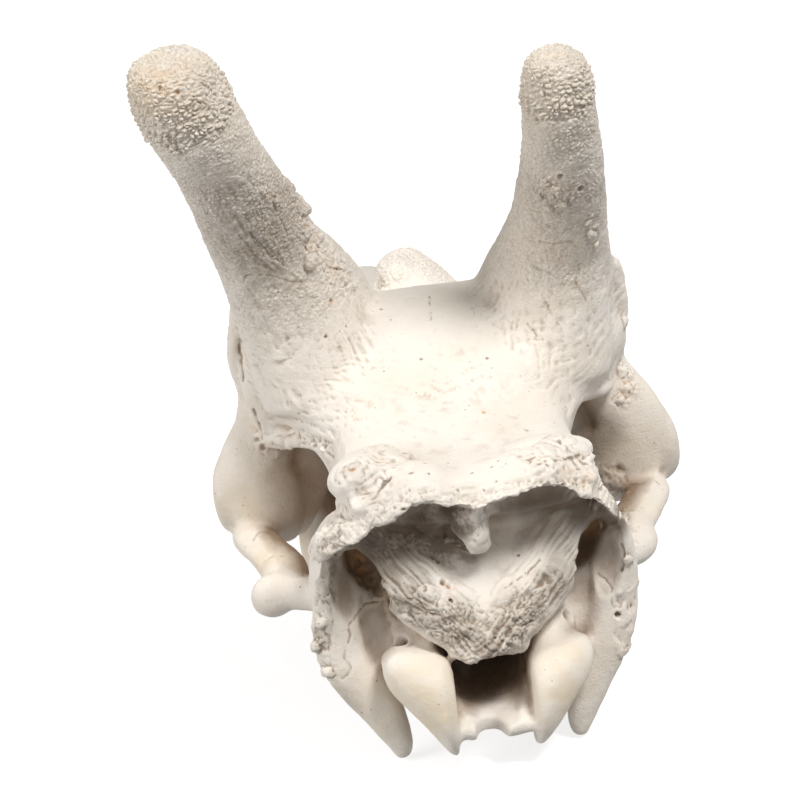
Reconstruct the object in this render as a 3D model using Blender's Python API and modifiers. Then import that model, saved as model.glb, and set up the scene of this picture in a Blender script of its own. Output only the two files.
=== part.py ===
"""Southern giraffe skull without its lower jaw: the cranium, grown as one piece, and its twelve cheek teeth.

The skull stands as on a table, on its molars and on the tips of its paroccipital processes.
+Y points to the muzzle, +X to the animal's right and +Z up. The origin is under the middle, on the table.
Bone is built from named forms (limbs and blobs), which are fused by voxel remeshing and smoothed, and from
hollows, which are cut out of them. Places below are in millimetres.
"""

import math

import bmesh
import bpy
from mathutils import Matrix, Vector, noise

MM = 0.001
SKULL = "southern_giraffe_skull"
CRANIUM_TRIANGLES = 7900
VOXEL = 3.0  # size of the fused bone's voxels
SEAT_GAP = 0.35  # air between a tooth and its socket
BONE = (0.86, 0.82, 0.74, 1.0)
ENAMEL = (0.80, 0.72, 0.56, 1.0)
# The two sides differ a little: keys are -1 for the animal's left and 1 for its right
EYE_SPREAD = {-1: 0.98, 1: 1.035}  # how far out the eye socket stands
FLANGE_BULGE = {-1: 5.0, 1: 0.0}  # how far the mastoid flange swells over the paroccipital process
FLAP_DROP = {-1: 0.0, 1: 2.0}  # how much higher the frontal bone's side flap lies
EYE_CORNER = {-1: 5.0, 1: 9.0}  # how much further out the eye socket's lower corner stands
EDGE_RISE = {-1: 0.0, 1: 6.0}  # how much higher the frontal bone's edge over the temporal fossa lies
CONDYLE_RISE = {-1: 1.0, 1: 0.91}  # the condyle's height as a share of the left one's


# Building blocks


def clear_scene():
    for old in list(bpy.data.objects):
        bpy.data.objects.remove(old, do_unlink=True)


def collection(name):
    made = bpy.data.collections.new(name)
    bpy.context.scene.collection.children.link(made)
    return made


def catmull(values, t):
    """A smooth curve through rows of numbers; t runs from 0 to the last row's index."""
    i = min(int(t), len(values) - 2)
    f = t - i
    p0, p1 = values[max(i - 1, 0)], values[i]
    p2, p3 = values[i + 1], values[min(i + 2, len(values) - 1)]
    return [
        0.5 * (2 * b + (c - a) * f + (2 * a - 5 * b + 4 * c - d) * f * f + (3 * b - a - 3 * c + d) * f ** 3)
        for a, b, c, d in zip(p0, p1, p2, p3)
    ]


def mesh_object(name, bm, group):
    bmesh.ops.recalc_face_normals(bm, faces=bm.faces)
    mesh = bpy.data.meshes.new(name)
    bm.to_mesh(mesh)
    bm.free()
    made = bpy.data.objects.new(name, mesh)
    group.objects.link(made)
    return made


def limb(group, stations, side=(1, 0, 0), power=2.0, sides=20, steps=5, facing=None):
    """A closed loft along a smooth path. A station is (x, y, z, half-width along side, half-depth across it).

    The sections stand square to the path, or to facing where it is given.
    """
    bm = bmesh.new()
    rings = []
    count = (len(stations) - 1) * steps
    for k in range(count + 1):
        t = k / steps
        x, y, z, a, b = catmull(stations, t)
        ahead = Vector(catmull(stations, min(t + 0.05, len(stations) - 1))[:3])
        behind = Vector(catmull(stations, max(t - 0.05, 0))[:3])
        along = Vector(facing) if facing else (ahead - behind).normalized()
        across = Vector(side)
        across = (across - across.dot(along) * along).normalized()
        third = along.cross(across)
        ring = []
        for j in range(sides):
            c, s = math.cos(math.tau * j / sides), math.sin(math.tau * j / sides)
            u = math.copysign(abs(c) ** (2 / power), c) * a
            v = math.copysign(abs(s) ** (2 / power), s) * b
            ring.append(bm.verts.new((Vector((x, y, z)) + across * u + third * v) * MM))
        rings.append(ring)
    for low, high in zip(rings, rings[1:]):
        for j in range(sides):
            bm.faces.new((low[j], low[(j + 1) % sides], high[(j + 1) % sides], high[j]))
    for ring in (rings[0], rings[-1]):
        bm.faces.new(ring)
    return mesh_object("limb", bm, group)


def blob(group, centre, radii, turn=(0, 0, 0), detail=3):
    """An ellipsoid. turn is its rotation about X, Y and Z, in degrees."""
    bm = bmesh.new()
    bmesh.ops.create_icosphere(bm, subdivisions=detail, radius=1.0)
    spin = Matrix.Rotation(math.radians(turn[2]), 4, "Z")
    spin @= Matrix.Rotation(math.radians(turn[1]), 4, "Y") @ Matrix.Rotation(math.radians(turn[0]), 4, "X")
    size = Matrix.Diagonal((*[r * MM for r in radii], 1))
    bm.transform(Matrix.Translation(Vector(centre) * MM) @ spin @ size)
    return mesh_object("blob", bm, group)


def evaluated_mesh(source):
    """A mesh datablock of the object with its modifiers applied."""
    graph = bpy.context.evaluated_depsgraph_get()
    return bpy.data.meshes.new_from_object(source.evaluated_get(graph))


def bake(target):
    baked = evaluated_mesh(target)
    old = target.data
    target.modifiers.clear()
    target.data = baked
    bpy.data.meshes.remove(old)
    return target


def join(group, name, parts):
    """One object that holds all the parts' shells, which the next remesh unites."""
    bm = bmesh.new()
    for part in parts:
        bm.from_mesh(part.data)
    for part in parts:
        bpy.data.objects.remove(part, do_unlink=True)
    return mesh_object(name, bm, group)


def fuse(target, soften, voxel=VOXEL):
    """Unites overlapping shells into one skin and rounds it over a length of about soften."""
    remesh = target.modifiers.new("unite", "REMESH")
    remesh.mode = "VOXEL"
    remesh.voxel_size = voxel * MM
    smooth = target.modifiers.new("soften", "SMOOTH")
    smooth.factor = 0.5
    smooth.iterations = max(1, round(1.6 * (soften / voxel) ** 2))
    return bake(target)


def cut(target, cutter):
    """Takes the cutter's volume out of the target."""
    hole = target.modifiers.new("hollow", "BOOLEAN")
    hole.operation = "DIFFERENCE"
    hole.solver = "EXACT"
    hole.object = cutter
    bake(target)
    bpy.data.objects.remove(cutter, do_unlink=True)
    return target


# Heavy forms: the masses that flow into each other. A side s is 1 for the animal's right, -1 for its left


def braincase(g):
    return limb(g, [
        (0, -292, 88, 50, 34), (0, -270, 92, 58, 44), (0, -235, 98, 61, 52), (0, -200, 104, 56, 56),
        (0, -165, 108, 50, 58), (0, -125, 106, 44, 58), (0, -80, 102, 42, 60),
    ], power=2.3)


def roof(g):
    """The parietal roof behind, which widens into the frontal bones over the eye sockets."""
    return limb(g, [
        (0, -322, 140, 60, 8), (0, -305, 137, 61, 13), (0, -280, 130, 59, 19), (0, -250, 127, 59, 26),
        (0, -218, 127, 61, 36), (0, -193, 138, 78, 40), (1, -170, 157, 99, 34), (1, -145, 153, 101, 33),
        (0, -115, 142, 93, 32), (0, -85, 132, 74, 32), (0, -50, 122, 54, 34),
    ], power=2.7, sides=28)


def ossicone_left(g):
    return limb(g, [
        (-54, -146, 150, 42, 38), (-62, -162, 190, 35.5, 36), (-77, -188, 226, 27.5, 28), (-89, -213, 261, 24.5, 24),
        (-100.5, -230, 290, 22.5, 23), (-110, -240, 312, 23.3, 24), (-117.5, -246, 331, 24, 24),
        (-121.5, -249, 343, 20, 21), (-122.5, -250, 348.5, 11, 12),
    ])


def ossicone_right(g):
    return limb(g, [
        (59, -148, 148, 44, 38), (62, -164, 184, 36.5, 36), (64.5, -186, 214, 28, 27), (65.5, -208, 243, 23.5, 22.5),
        (65, -229, 275, 20, 20.5), (63, -240, 298, 18.2, 19), (62, -246, 314, 17.6, 18),
        (60.5, -249, 326, 14.5, 15), (60, -250, 331, 7, 7),
    ])


def horn_roots(g):
    """The bone that rises behind each ossicone's base, so that the frontal bone runs up into it."""
    left = [(-58, -190, 150, 30, 22), (-64, -188, 178, 30, 24), (-72, -192, 205, 27, 22), (-80, -203, 232, 24, 17)]
    right = [(58, -191, 148, 30, 21), (61, -189, 176, 29, 22), (63, -193, 203, 25, 20), (65, -205, 230, 21, 16)]
    return [limb(g, left), limb(g, right)]


def median_ossicone(g):
    return limb(g, [
        (3, -56, 106, 46, 60), (3, -60, 137, 38, 52), (2, -64, 156, 27, 38), (0, -66, 168, 18, 27),
        (-2, -68, 175, 12, 17), (-2, -68, 179, 6, 8),
    ])


def face(g):
    """The long snout: the maxillae and the nasal bones on top of them."""
    return limb(g, [
        (0, -100, 92, 56, 68), (0, -60, 90, 56, 66), (0, -20, 85, 52, 62), (0, 30, 80, 47, 54),
        (0, 80, 73, 41, 48), (0, 120, 66, 35, 43), (0, 160, 60, 30, 37), (0, 200, 53, 27, 30),
        (0, 232, 44, 26, 20), (0, 256, 36, 26, 12),
    ], power=2.6, sides=24)


def cheek(g, s):
    """The maxilla over the tooth row, from behind the last molar to the diastema."""
    return limb(g, [
        (s * 42, -108, 48, 16, 24), (s * 50, -78, 46, 20, 33), (s * 51, -30, 46, 20, 33),
        (s * 47, 20, 44, 17, 31), (s * 42, 62, 42, 14, 28), (s * 34, 100, 41, 10.5, 22), (s * 28, 132, 42, 6.5, 15),
        (s * 25, 158, 43, 3, 8),
    ])


def brow(g, s):
    """From the front of the eye socket down into the side of the face."""
    return limb(g, [
        (s * 70, -90, 104, 18, 34), (s * 62, -66, 98, 17, 36), (s * 50, -36, 90, 14, 32), (s * 42, 0, 84, 9, 24),
    ])


def eye_wall(g, s):
    """The wall that closes the eye socket towards the temporal fossa."""
    return limb(g, [
        (s * 72, -154, 150, 24, 14), (s * 76, -156, 120, 28, 13), (s * 80, -156, 94, 25, 12),
        (s * 84, -154, 76, 20, 11), (s * 86, -152, 66, 16, 9),
    ])


def skull_base(g):
    return limb(g, [
        (0, -333, 22, 21, 5.5), (0, -322, 25, 23, 7), (0, -300, 31, 24, 12), (0, -260, 41, 27, 14),
        (0, -215, 47, 25, 17), (0, -170, 58, 19, 19), (0, -120, 66, 18, 20),
    ], power=2.3)


def heavy_forms(g):
    forms = [braincase(g), roof(g), ossicone_left(g), ossicone_right(g), median_ossicone(g), face(g), skull_base(g)]
    forms += horn_roots(g)
    for s in (-1, 1):
        forms += [cheek(g, s), brow(g, s), eye_wall(g, s), blob(g, (s * 59, -261, 77), (20, 31, 40))]
        forms.append(blob(g, (s * 78, -100, 122), (18, 20, 22)))
        forms.append(blob(g, (s * 58, -108, 64), (17, 32, 24)))
        forms.append(blob(g, (s * 62, -120, 45), (11, 23, 21)))
    return forms


def wide_hollows(g):
    """The eye sockets, the fossae behind them, the roof of the mouth, the choana and the nose."""
    nose = [
        (0, 330, 62, 22, 28), (0, 262, 62, 22, 32), (0, 226, 64, 20, 30), (0, 196, 62, 19, 24), (0, 150, 62, 17, 22),
        (0, 90, 70, 14, 22), (0, 30, 78, 12, 22),
    ]
    palate = [
        (0, -170, 8, 24, 30), (0, -110, 6, 27, 24), (0, -60, 4, 30, 21), (0, 0, 4, 29, 19), (0, 70, 4, 25, 17),
        (0, 130, 4, 18, 18), (0, 200, 2, 20, 18), (0, 300, 2, 20, 14),
    ]
    choana = [(0, -170, 34, 14, 24), (0, -130, 38, 15, 22), (0, -90, 44, 14, 15)]
    hollows = [limb(g, nose), limb(g, palate), limb(g, choana)]
    for s in (-1, 1):
        hollows.append(blob(g, (s * 88, -124, 103), (34, 31, 31)))
        hollows.append(limb(g, [
            (s * 89, -228, 86, 28, 50), (s * 85, -203, 96, 29, 46), (s * 82, -178, 101, 24, 37),
            (s * 79, -167, 100, 17, 24),
        ]))
        hollows.append(limb(g, [(s * 78, -190, 44, 22, 18), (s * 74, -160, 48, 18, 16), (s * 66, -140, 52, 10, 10)]))
    return hollows


# Slender forms: bars, arches, rims, flanges and knuckles


def occipital_plate(g):
    """The plate between the nuchal crest and the foramen magnum, with a thick band on each side that makes a V."""
    plate = limb(g, [
        (0, -272, 130, 50, 14), (0, -280, 108, 46, 16), (0, -289, 92, 38, 17), (0, -300, 79, 29, 17),
        (0, -312, 66, 22, 16), (0, -316, 56, 18, 13),
    ], power=2.4)
    left = [(-58, -292, 126, 12, 10), (-50, -294, 112, 15, 12), (-40, -298, 99, 16.5, 13), (-27, -303, 86, 17, 14),
            (-13, -311, 73, 15, 14), (-4, -316, 63, 10, 12), (-2, -318, 58, 6, 9)]
    right = [(60, -292, 124, 11, 10), (51, -294, 112, 14, 12), (40, -298, 99, 16, 13), (27, -303, 86, 17, 14),
             (13, -311, 74, 15, 14), (4, -316, 63, 10, 12), (2, -318, 58, 6, 9)]
    return [plate, limb(g, left), limb(g, right)]


def crest(g):
    """The nuchal crest, a rough ledge that slopes down to its edge and overhangs the occiput."""
    return limb(g, [
        (-77, -303, 113, 7, 5), (-68, -307, 123, 13, 5), (-51, -312, 135, 17, 5.5), (-34, -315, 146, 17, 5.5),
        (-20, -317, 147, 16, 5.5), (-5, -315, 139, 15, 6), (8, -317, 144, 16, 5.5), (28, -316, 149, 17, 5.5),
        (46, -312, 143, 17, 5.5), (60, -307, 129, 13, 5), (68, -303, 115, 7, 4.5),
    ], side=(0, 1, 0.33), facing=(1, 0, 0))


def nuchal_wall(g, s):
    """The wall between the V's band and the mastoid flange, which closes the skull's side behind."""
    return limb(g, [
        (s * 55, -280, 114, 13, 9), (s * 55, -279, 94, 17, 9), (s * 54, -280, 74, 18, 10), (s * 48, -284, 56, 18, 11),
        (s * 42, -288, 38, 14, 10),
    ])


def flange(g, s):
    """The mastoid flange from the crest's end down to the tip of the paroccipital process."""
    w = FLANGE_BULGE[s]
    return limb(g, [
        (s * (58 + w), -298, 114, 11.5, 8), (s * 65, -296, 98, 11.5, 7), (s * (67 + 0.6 * w), -294, 76, 11.5, 7),
        (s * (62 + w), -296, 52, 12, 7.5), (s * (51 + 0.4 * w), -298, 29, 11, 7.5), (s * 44.5, -300, 10, 7, 6),
        (s * 43.5, -301, 1, 3.5, 4),
    ])


def condyle(g, s):
    """The knuckle on the neck: seen from behind a quarter of an ellipse, with an upright inner edge and a flat top."""
    rise = CONDYLE_RISE[s]
    rows = [
        (50.5, -309, 53.5, 4.5, 8), (48, -311, 52, 9.5, 12), (42, -313, 49, 14.5, 16), (36, -315, 45.5, 18, 18),
        (29, -317, 40, 22, 19), (23, -319, 35, 25, 18.5), (18.5, -319, 31.5, 24, 15),
    ]
    knuckle = limb(g, [(s * x, y, 13 + (z - 13) * rise, a * rise, b) for x, y, z, a, b in rows],
                   side=(0, 0, 1), power=2.3, sides=24, facing=(1, 0, 0))
    return [knuckle, limb(g, [(s * 30, -312, 45, 11, 15), (s * 34, -284, 54, 15, 22)])]


def zygomatic_arch(g, s):
    w, c = EYE_SPREAD[s], EYE_CORNER[s]
    return limb(g, [
        (s * 56, -250, 66, 14, 13), (s * 74, -240, 66, 10, 9), (s * 87, -229, 67, 13, 10),
        (s * (93 * w - 0.8 * c), -214, 70, 12.5, 9), (s * 95 * w, -196, 73, 12, 7),
        (s * (98 * w + 0.5 * c), -178, 74, 12, 7), (s * (95 * w + 0.6 * c), -160, 73, 13, 7),
    ])


def postorbital_bar(g, s):
    w = EYE_SPREAD[s]
    return limb(g, [
        (s * 78, -156, 146, 16, 12), (s * 86 * w, -163, 132, 16, 9), (s * 97 * w, -168, 110, 19, 7),
        (s * 94 * w, -168, 94, 21, 6), (s * 91 * w, -167, 79, 18, 6), (s * 93 * w, -163, 68, 15, 7),
    ])


def eye_rim(g, s):
    """The whole ring of bone round the eye socket, which leans out behind and in on top."""
    w, c = EYE_SPREAD[s], EYE_CORNER[s]
    rim = [
        (88, -120, 136, 7, 7), (91, -142, 131, 7, 6), (100, -157, 121, 7, 6), (111, -165, 106, 8, 6),
        (110 + 0.6 * c, -164, 89, 7, 6), (104 + c, -156, 76, 7, 6), (98, -134, 67, 7, 6), (94, -112, 68, 7, 6),
        (87, -96, 78, 7, 7), (84, -90, 96, 7, 7), (84, -94, 116, 7, 7), (86, -106, 130, 7, 7), (88, -120, 136, 7, 7),
    ]
    return limb(g, [(s * x * w, y, z, a, b) for x, y, z, a, b in rim])


def frontal_edges(g, s):
    """The frontal bone's sheet behind the eye socket, its edge over the temporal fossa, and a flap by the horn."""
    e = EDGE_RISE[s]
    sheet = limb(g, [
        (s * 60, -170, 192, 34, 9), (s * 63, -171, 172, 34, 9), (s * 66, -173, 153 + e / 2, 32, 9),
        (s * 68, -176, 138 + e, 28, 7), (s * 69, -180, 130 + e, 22, 4.5),
    ], power=2.6)
    ledge = limb(g, [
        (s * 88, -172, 131 + e / 2, 8, 5), (s * 82, -176, 128 + e, 9, 5), (s * 75, -183, 128 + e, 9, 4.5),
        (s * 67, -195, 131 + e, 8, 4.5), (s * 60, -210, 133 + e, 7, 5), (s * 52, -226, 130, 6, 5),
    ])
    w = FLAP_DROP[s]
    flap = limb(g, [
        (s * 95, -174, 197 + w, 4, 5), (s * 98, -171, 183 + w, 3.5, 5), (s * 100, -168, 169 + w, 3, 5),
        (s * 98.5, -166, 156 + w, 2.5, 4),
    ])
    return [sheet, ledge, flap]


def nasal_bones(g):
    return limb(g, [
        (0, 10, 127, 24, 8), (0, 60, 117, 22, 8), (0, 120, 104, 19, 7), (0, 170, 94, 16, 6), (0, 198, 88, 9, 4),
        (0, 212, 84, 4, 3),
    ])


def premaxilla(g, s):
    return limb(g, [
        (s * 24, 140, 60, 5, 20), (s * 25, 190, 52, 5, 20), (s * 26, 220, 44, 5, 16), (s * 28, 250, 33, 6, 11),
        (s * 30, 285, 25, 8, 7), (s * 26, 315, 21, 10, 5.5), (s * 17, 336, 19, 8, 4),
    ])


def palate_front(g, s):
    return limb(g, [
        (s * 16, 170, 33, 9, 7), (s * 14, 215, 28, 8, 6), (s * 10, 255, 25, 6, 5), (s * 7, 296, 22, 4, 4),
    ])


def pterygoid(g, s):
    return limb(g, [
        (s * 20, -186, 46, 4, 16), (s * 22, -155, 38, 4.5, 24), (s * 24, -120, 34, 5, 22), (s * 28, -96, 32, 7, 18),
    ])


def slender_forms(g):
    forms = [*occipital_plate(g), crest(g), nasal_bones(g)]
    for s in (-1, 1):
        forms += [flange(g, s), zygomatic_arch(g, s), postorbital_bar(g, s), eye_rim(g, s), premaxilla(g, s)]
        forms += [palate_front(g, s), pterygoid(g, s), *condyle(g, s), *frontal_edges(g, s), nuchal_wall(g, s)]
        forms.append(blob(g, (s * 40, -262, 40), (13, 21, 16)))
    forms.append(blob(g, (-48, -293, 146), (17, 25, 12), turn=(0, 0, -40)))
    forms.append(blob(g, (38, -288, 143), (22, 17, 10)))
    forms.append(blob(g, (-95, -233, 65), (12, 9, 12)))
    forms.append(limb(g, [
        (-7, -308, 140, 17, 8), (-5, -311, 130, 13, 8), (-2, -312, 119, 8, 8), (0, -311, 109, 4, 5),
    ]))
    return forms


def narrow_hollows(g):
    """Foramen magnum with the brain's chamber, the pits under the crest, ears and nerve openings."""
    hollows = [
        limb(g, [(0, -356, 36, 18, 19), (0, -322, 40.5, 18, 14.5), (0, -290, 43, 18, 14.5), (0, -268, 56, 26, 22)]),
        limb(g, [(0, -296, 47, 17, 15), (0, -260, 55, 17, 14), (0, -206, 57, 15, 14)], power=3.0),
        blob(g, (0, -232, 83), (40, 56, 39)),
        blob(g, (-3, -338, 18), (8.5, 19, 24)),
    ]
    for s in (-1, 1):
        w = EYE_SPREAD[s]
        hollows.append(blob(g, (s * 104 * w, -127, 101), (26, 28, 27)))
        hollows.append(blob(g, (s * 30, -322, 126), (28, 20, 15), turn=(20, s * 14, 0)))
        hollows.append(blob(g, (s * 59, -311, 92), (14, 20, 27), turn=(0, s * 4, 0)))
        hollows.append(blob(g, (s * 53, -298, 96), (7, 20, 18), turn=(0, s * 30, 0)))
        hollows.append(limb(g, [(s * 90, -262, 60, 6, 6), (s * 58, -260, 56, 5, 5)], side=(0, 1, 0)))
        hollows.append(limb(g, [(s * 60, 92, 48, 6, 7), (s * 30, 56, 46, 5, 6)], side=(0, 1, 0)))
    return hollows


def grow_bone(g, voxel=VOXEL):
    bone = fuse(join(g, "cranium", heavy_forms(g)), 8.0, voxel)
    cut(bone, fuse(join(g, "wide_hollow", wide_hollows(g)), 4.0, voxel))
    bone = fuse(join(g, "cranium", [bone] + slender_forms(g)), 4.5, voxel)
    cut(bone, fuse(join(g, "narrow_hollow", narrow_hollows(g)), 3.0, voxel))
    fuse(bone, 2.5, voxel)
    bone.name = "cranium"
    return bone


# Rough places: middle, reach, size of the lumps and their height
ROUGH_SPOTS = (
    ((-117, -246, 334), 44, 9.0, 2.6), ((61, -247, 318), 34, 8.0, 2.0), ((-58, -196, 246), 26, 10.0, 4.0),
    ((-2, -66, 174), 26, 10.0, 2.2), ((-50, -296, 146), 26, 12.0, 1.8), ((48, -300, 146), 34, 13.0, 2.6),
    ((0, -326, 62), 22, 10.0, 2.0), ((-60, -316, 134), 22, 13.0, 2.0), ((80, -299, 66), 24, 12.0, 1.6),
    ((-80, -299, 66), 24, 12.0, 1.6),
)


def roughen(bone, spots=ROUGH_SPOTS):
    """Raises lumps and leaves pits between them, most in the middle of each rough place."""
    moves = []
    for vertex in bone.data.vertices:
        place = vertex.co / MM
        for middle, reach, cell, height in spots:
            near = 1 - (place - Vector(middle)).length / reach
            if near > 0:
                nearest = noise.voronoi(place / cell)[0][0]
                bump = height * (0.75 - 1.6 * nearest) * min(1.0, 2.5 * near)
                moves.append((vertex.index, vertex.normal * bump * MM))
    for index, move in moves:
        bone.data.vertices[index].co += move
    bone.data.update()
    return bone


def thin_out(target, triangles):
    """Fewer triangles, most of them where the form bends."""
    target.data.calc_loop_triangles()
    fewer = target.modifiers.new("fewer", "DECIMATE")
    fewer.ratio = triangles / len(target.data.loop_triangles)
    fewer.use_collapse_triangulate = True
    return bake(target)


# Cheek teeth. Each row: name, place of its middle (x outwards, y), length along the row and width across it

TEETH = (
    ("premolar_2", 43.0, 49.5, 20.0, 21.0),
    ("premolar_3", 45.0, 27.7, 22.0, 24.0),
    ("premolar_4", 47.5, 5.2, 22.0, 26.0),
    ("molar_1", 49.5, -19.6, 26.5, 28.0),
    ("molar_2", 50.5, -48.6, 30.5, 29.0),
    ("molar_3", 50.0, -79.7, 30.5, 28.0),
)
CROWN_FOOT = 32.0  # the root's end, above the grinding face at z = 0
# Outlines as parts of the tooth's length (forwards) and width (outwards), once round
MOLAR_OUTLINE = (
    (-0.5, 0.40), (-0.25, 0.34), (0.0, 0.5), (0.25, 0.34), (0.5, 0.40), (0.5, -0.10), (0.40, -0.40), (0.24, -0.5),
    (0.08, -0.40), (0.0, -0.24), (-0.08, -0.40), (-0.24, -0.5), (-0.40, -0.40), (-0.5, -0.10),
)
PREMOLAR_OUTLINE = (
    (-0.5, 0.34), (-0.30, 0.5), (0.0, 0.40), (0.30, 0.5), (0.5, 0.34), (0.5, -0.06), (0.36, -0.38), (0.0, -0.5),
    (-0.36, -0.38), (-0.5, -0.06),
)


def tooth(group, name, s, grown=0.0):
    """A tooth, or its socket if it is grown by the seat's gap."""
    row = {r[0]: r[1:] for r in TEETH}[name]
    x, y, length, width = row
    outline = MOLAR_OUTLINE if name.startswith("molar") else PREMOLAR_OUTLINE
    low = -20.0 if grown else 0.0
    levels = ((low, 0.94), (8.0, 1.0), (CROWN_FOOT + grown, 0.86))
    bm = bmesh.new()
    rings = []
    for z, size in levels:
        ring = []
        for u, v in outline:
            px = x + v * (width * size + 2 * grown)
            py = y + u * (length * size + 2 * grown)
            ring.append(bm.verts.new(Vector((s * px, py, z)) * MM))
        rings.append(ring)
    n = len(outline)
    for below, above in zip(rings, rings[1:]):
        for j in range(n):
            bm.faces.new((below[j], below[(j + 1) % n], above[(j + 1) % n], above[j]))
    bm.faces.new(rings[0])
    bm.faces.new(rings[-1])
    return mesh_object(name + ("_right" if s > 0 else "_left"), bm, group)


def set_teeth(group, bone):
    """Cuts the sockets and puts the teeth in them."""
    teeth = []
    for s in (-1, 1):
        for row in TEETH:
            cut(bone, tooth(group, row[0], s, grown=SEAT_GAP))
            teeth.append(tooth(group, row[0], s))
    return teeth


def material(name, color, roughness):
    made = bpy.data.materials.new(name)
    made.use_nodes = True
    shader = made.node_tree.nodes["Principled BSDF"]
    shader.inputs["Base Color"].default_value = color
    shader.inputs["Roughness"].default_value = roughness
    return made


def centre_on_floor(pieces):
    """Moves all meshes so that the origin is under the middle of the whole skull, on the floor."""
    points = [v.co for piece in pieces for v in piece.data.vertices]
    low = Vector([min(p[i] for p in points) for i in range(3)])
    high = Vector([max(p[i] for p in points) for i in range(3)])
    shift = Vector((-(low.x + high.x) / 2, -(low.y + high.y) / 2, -low.z))
    for piece in pieces:
        piece.data.transform(Matrix.Translation(shift))
    return shift


def main():
    clear_scene()
    group = collection(SKULL)
    bone = thin_out(roughen(grow_bone(group)), CRANIUM_TRIANGLES)
    teeth = set_teeth(group, bone)
    bone.data.materials.clear()
    bone.data.materials.append(material("bone", BONE, 0.6))
    ivory = material("tooth", ENAMEL, 0.35)
    for piece in teeth:
        piece.data.materials.append(ivory)
    shift = centre_on_floor([bone] + teeth)
    print("moved by", [round(v / MM, 3) for v in shift], "mm")
    return shift


PLACED = main()
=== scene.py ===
"""The looks of a southern giraffe skull without its lower jaw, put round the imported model.

The bone is grown again from the same named forms as the model's solids, on a much finer grid. Then its skin
is worked like a carver would: knobs, lumps, ridges, cracks, sutures and pits are pushed out of it or into it.
Places are in millimetres in the frame in which the forms were laid out, and MM turns them into metres. A
feature that the photograph shows is placed by its pixel there, and lands on the skin that this pixel shows.
"""

import itertools
import math
import bmesh
import bpy
import numpy as np
from mathutils import Matrix, Vector, kdtree


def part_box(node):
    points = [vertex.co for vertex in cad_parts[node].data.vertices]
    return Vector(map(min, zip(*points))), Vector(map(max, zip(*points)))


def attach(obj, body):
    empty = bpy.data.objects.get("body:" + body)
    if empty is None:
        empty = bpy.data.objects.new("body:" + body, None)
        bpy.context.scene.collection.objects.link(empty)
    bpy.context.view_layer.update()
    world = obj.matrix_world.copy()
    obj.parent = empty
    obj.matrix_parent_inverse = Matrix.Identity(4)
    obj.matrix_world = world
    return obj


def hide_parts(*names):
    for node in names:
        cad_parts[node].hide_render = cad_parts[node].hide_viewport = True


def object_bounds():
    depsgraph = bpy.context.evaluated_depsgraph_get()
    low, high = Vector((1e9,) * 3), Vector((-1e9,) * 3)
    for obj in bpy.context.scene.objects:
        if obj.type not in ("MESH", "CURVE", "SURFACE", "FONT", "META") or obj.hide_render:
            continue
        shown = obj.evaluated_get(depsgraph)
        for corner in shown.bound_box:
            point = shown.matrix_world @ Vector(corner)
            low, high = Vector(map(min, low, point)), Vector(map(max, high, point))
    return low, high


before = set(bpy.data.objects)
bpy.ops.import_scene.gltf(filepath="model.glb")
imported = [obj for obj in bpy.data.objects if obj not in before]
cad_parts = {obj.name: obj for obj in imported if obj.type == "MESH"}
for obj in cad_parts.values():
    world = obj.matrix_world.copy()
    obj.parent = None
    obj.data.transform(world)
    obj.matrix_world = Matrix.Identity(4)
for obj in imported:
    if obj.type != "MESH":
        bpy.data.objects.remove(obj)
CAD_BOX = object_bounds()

MM = 0.001
GRID = 0.95  # the fine grid's cell, in mm
BONE_TRIANGLES = 760000
SEAT_GAP = 0.35  # air between a tooth and its socket
# The two sides differ a little, in mm or as a share. Keys are -1 for the animal's left and 1 for its right
EYE_SPREAD = {-1: 0.98, 1: 1.035}  # how far out the eye socket stands
FLANGE_BULGE = {-1: 5.0, 1: 0.0}  # how far the mastoid flange swells over the paroccipital process
FLAP_RISE = {-1: 0.0, 1: 2.0}  # how much higher the frontal bone's side flap lies
EYE_CORNER = {-1: 5.0, 1: 9.0}  # how much further out the eye socket's lower corner stands
EDGE_RISE = {-1: 0.0, 1: 6.0}  # how much higher the frontal bone's edge over the temporal fossa lies
CONDYLE_RISE = {-1: 1.0, 1: 0.91}  # the condyle's height as a share of the left one's


# Building blocks


def collection(name):
    made = bpy.data.collections.new(name)
    bpy.context.scene.collection.children.link(made)
    return made


def catmull(values, t):
    """A smooth curve through rows of numbers; t runs from 0 to the last row's index."""
    i = min(int(t), len(values) - 2)
    f = t - i
    p0, p1 = values[max(i - 1, 0)], values[i]
    p2, p3 = values[i + 1], values[min(i + 2, len(values) - 1)]
    return [
        0.5 * (2 * b + (c - a) * f + (2 * a - 5 * b + 4 * c - d) * f * f + (3 * b - a - 3 * c + d) * f ** 3)
        for a, b, c, d in zip(p0, p1, p2, p3)
    ]


def mesh_object(name, bm, group):
    bmesh.ops.recalc_face_normals(bm, faces=bm.faces)
    mesh = bpy.data.meshes.new(name)
    bm.to_mesh(mesh)
    bm.free()
    made = bpy.data.objects.new(name, mesh)
    group.objects.link(made)
    return made


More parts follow.
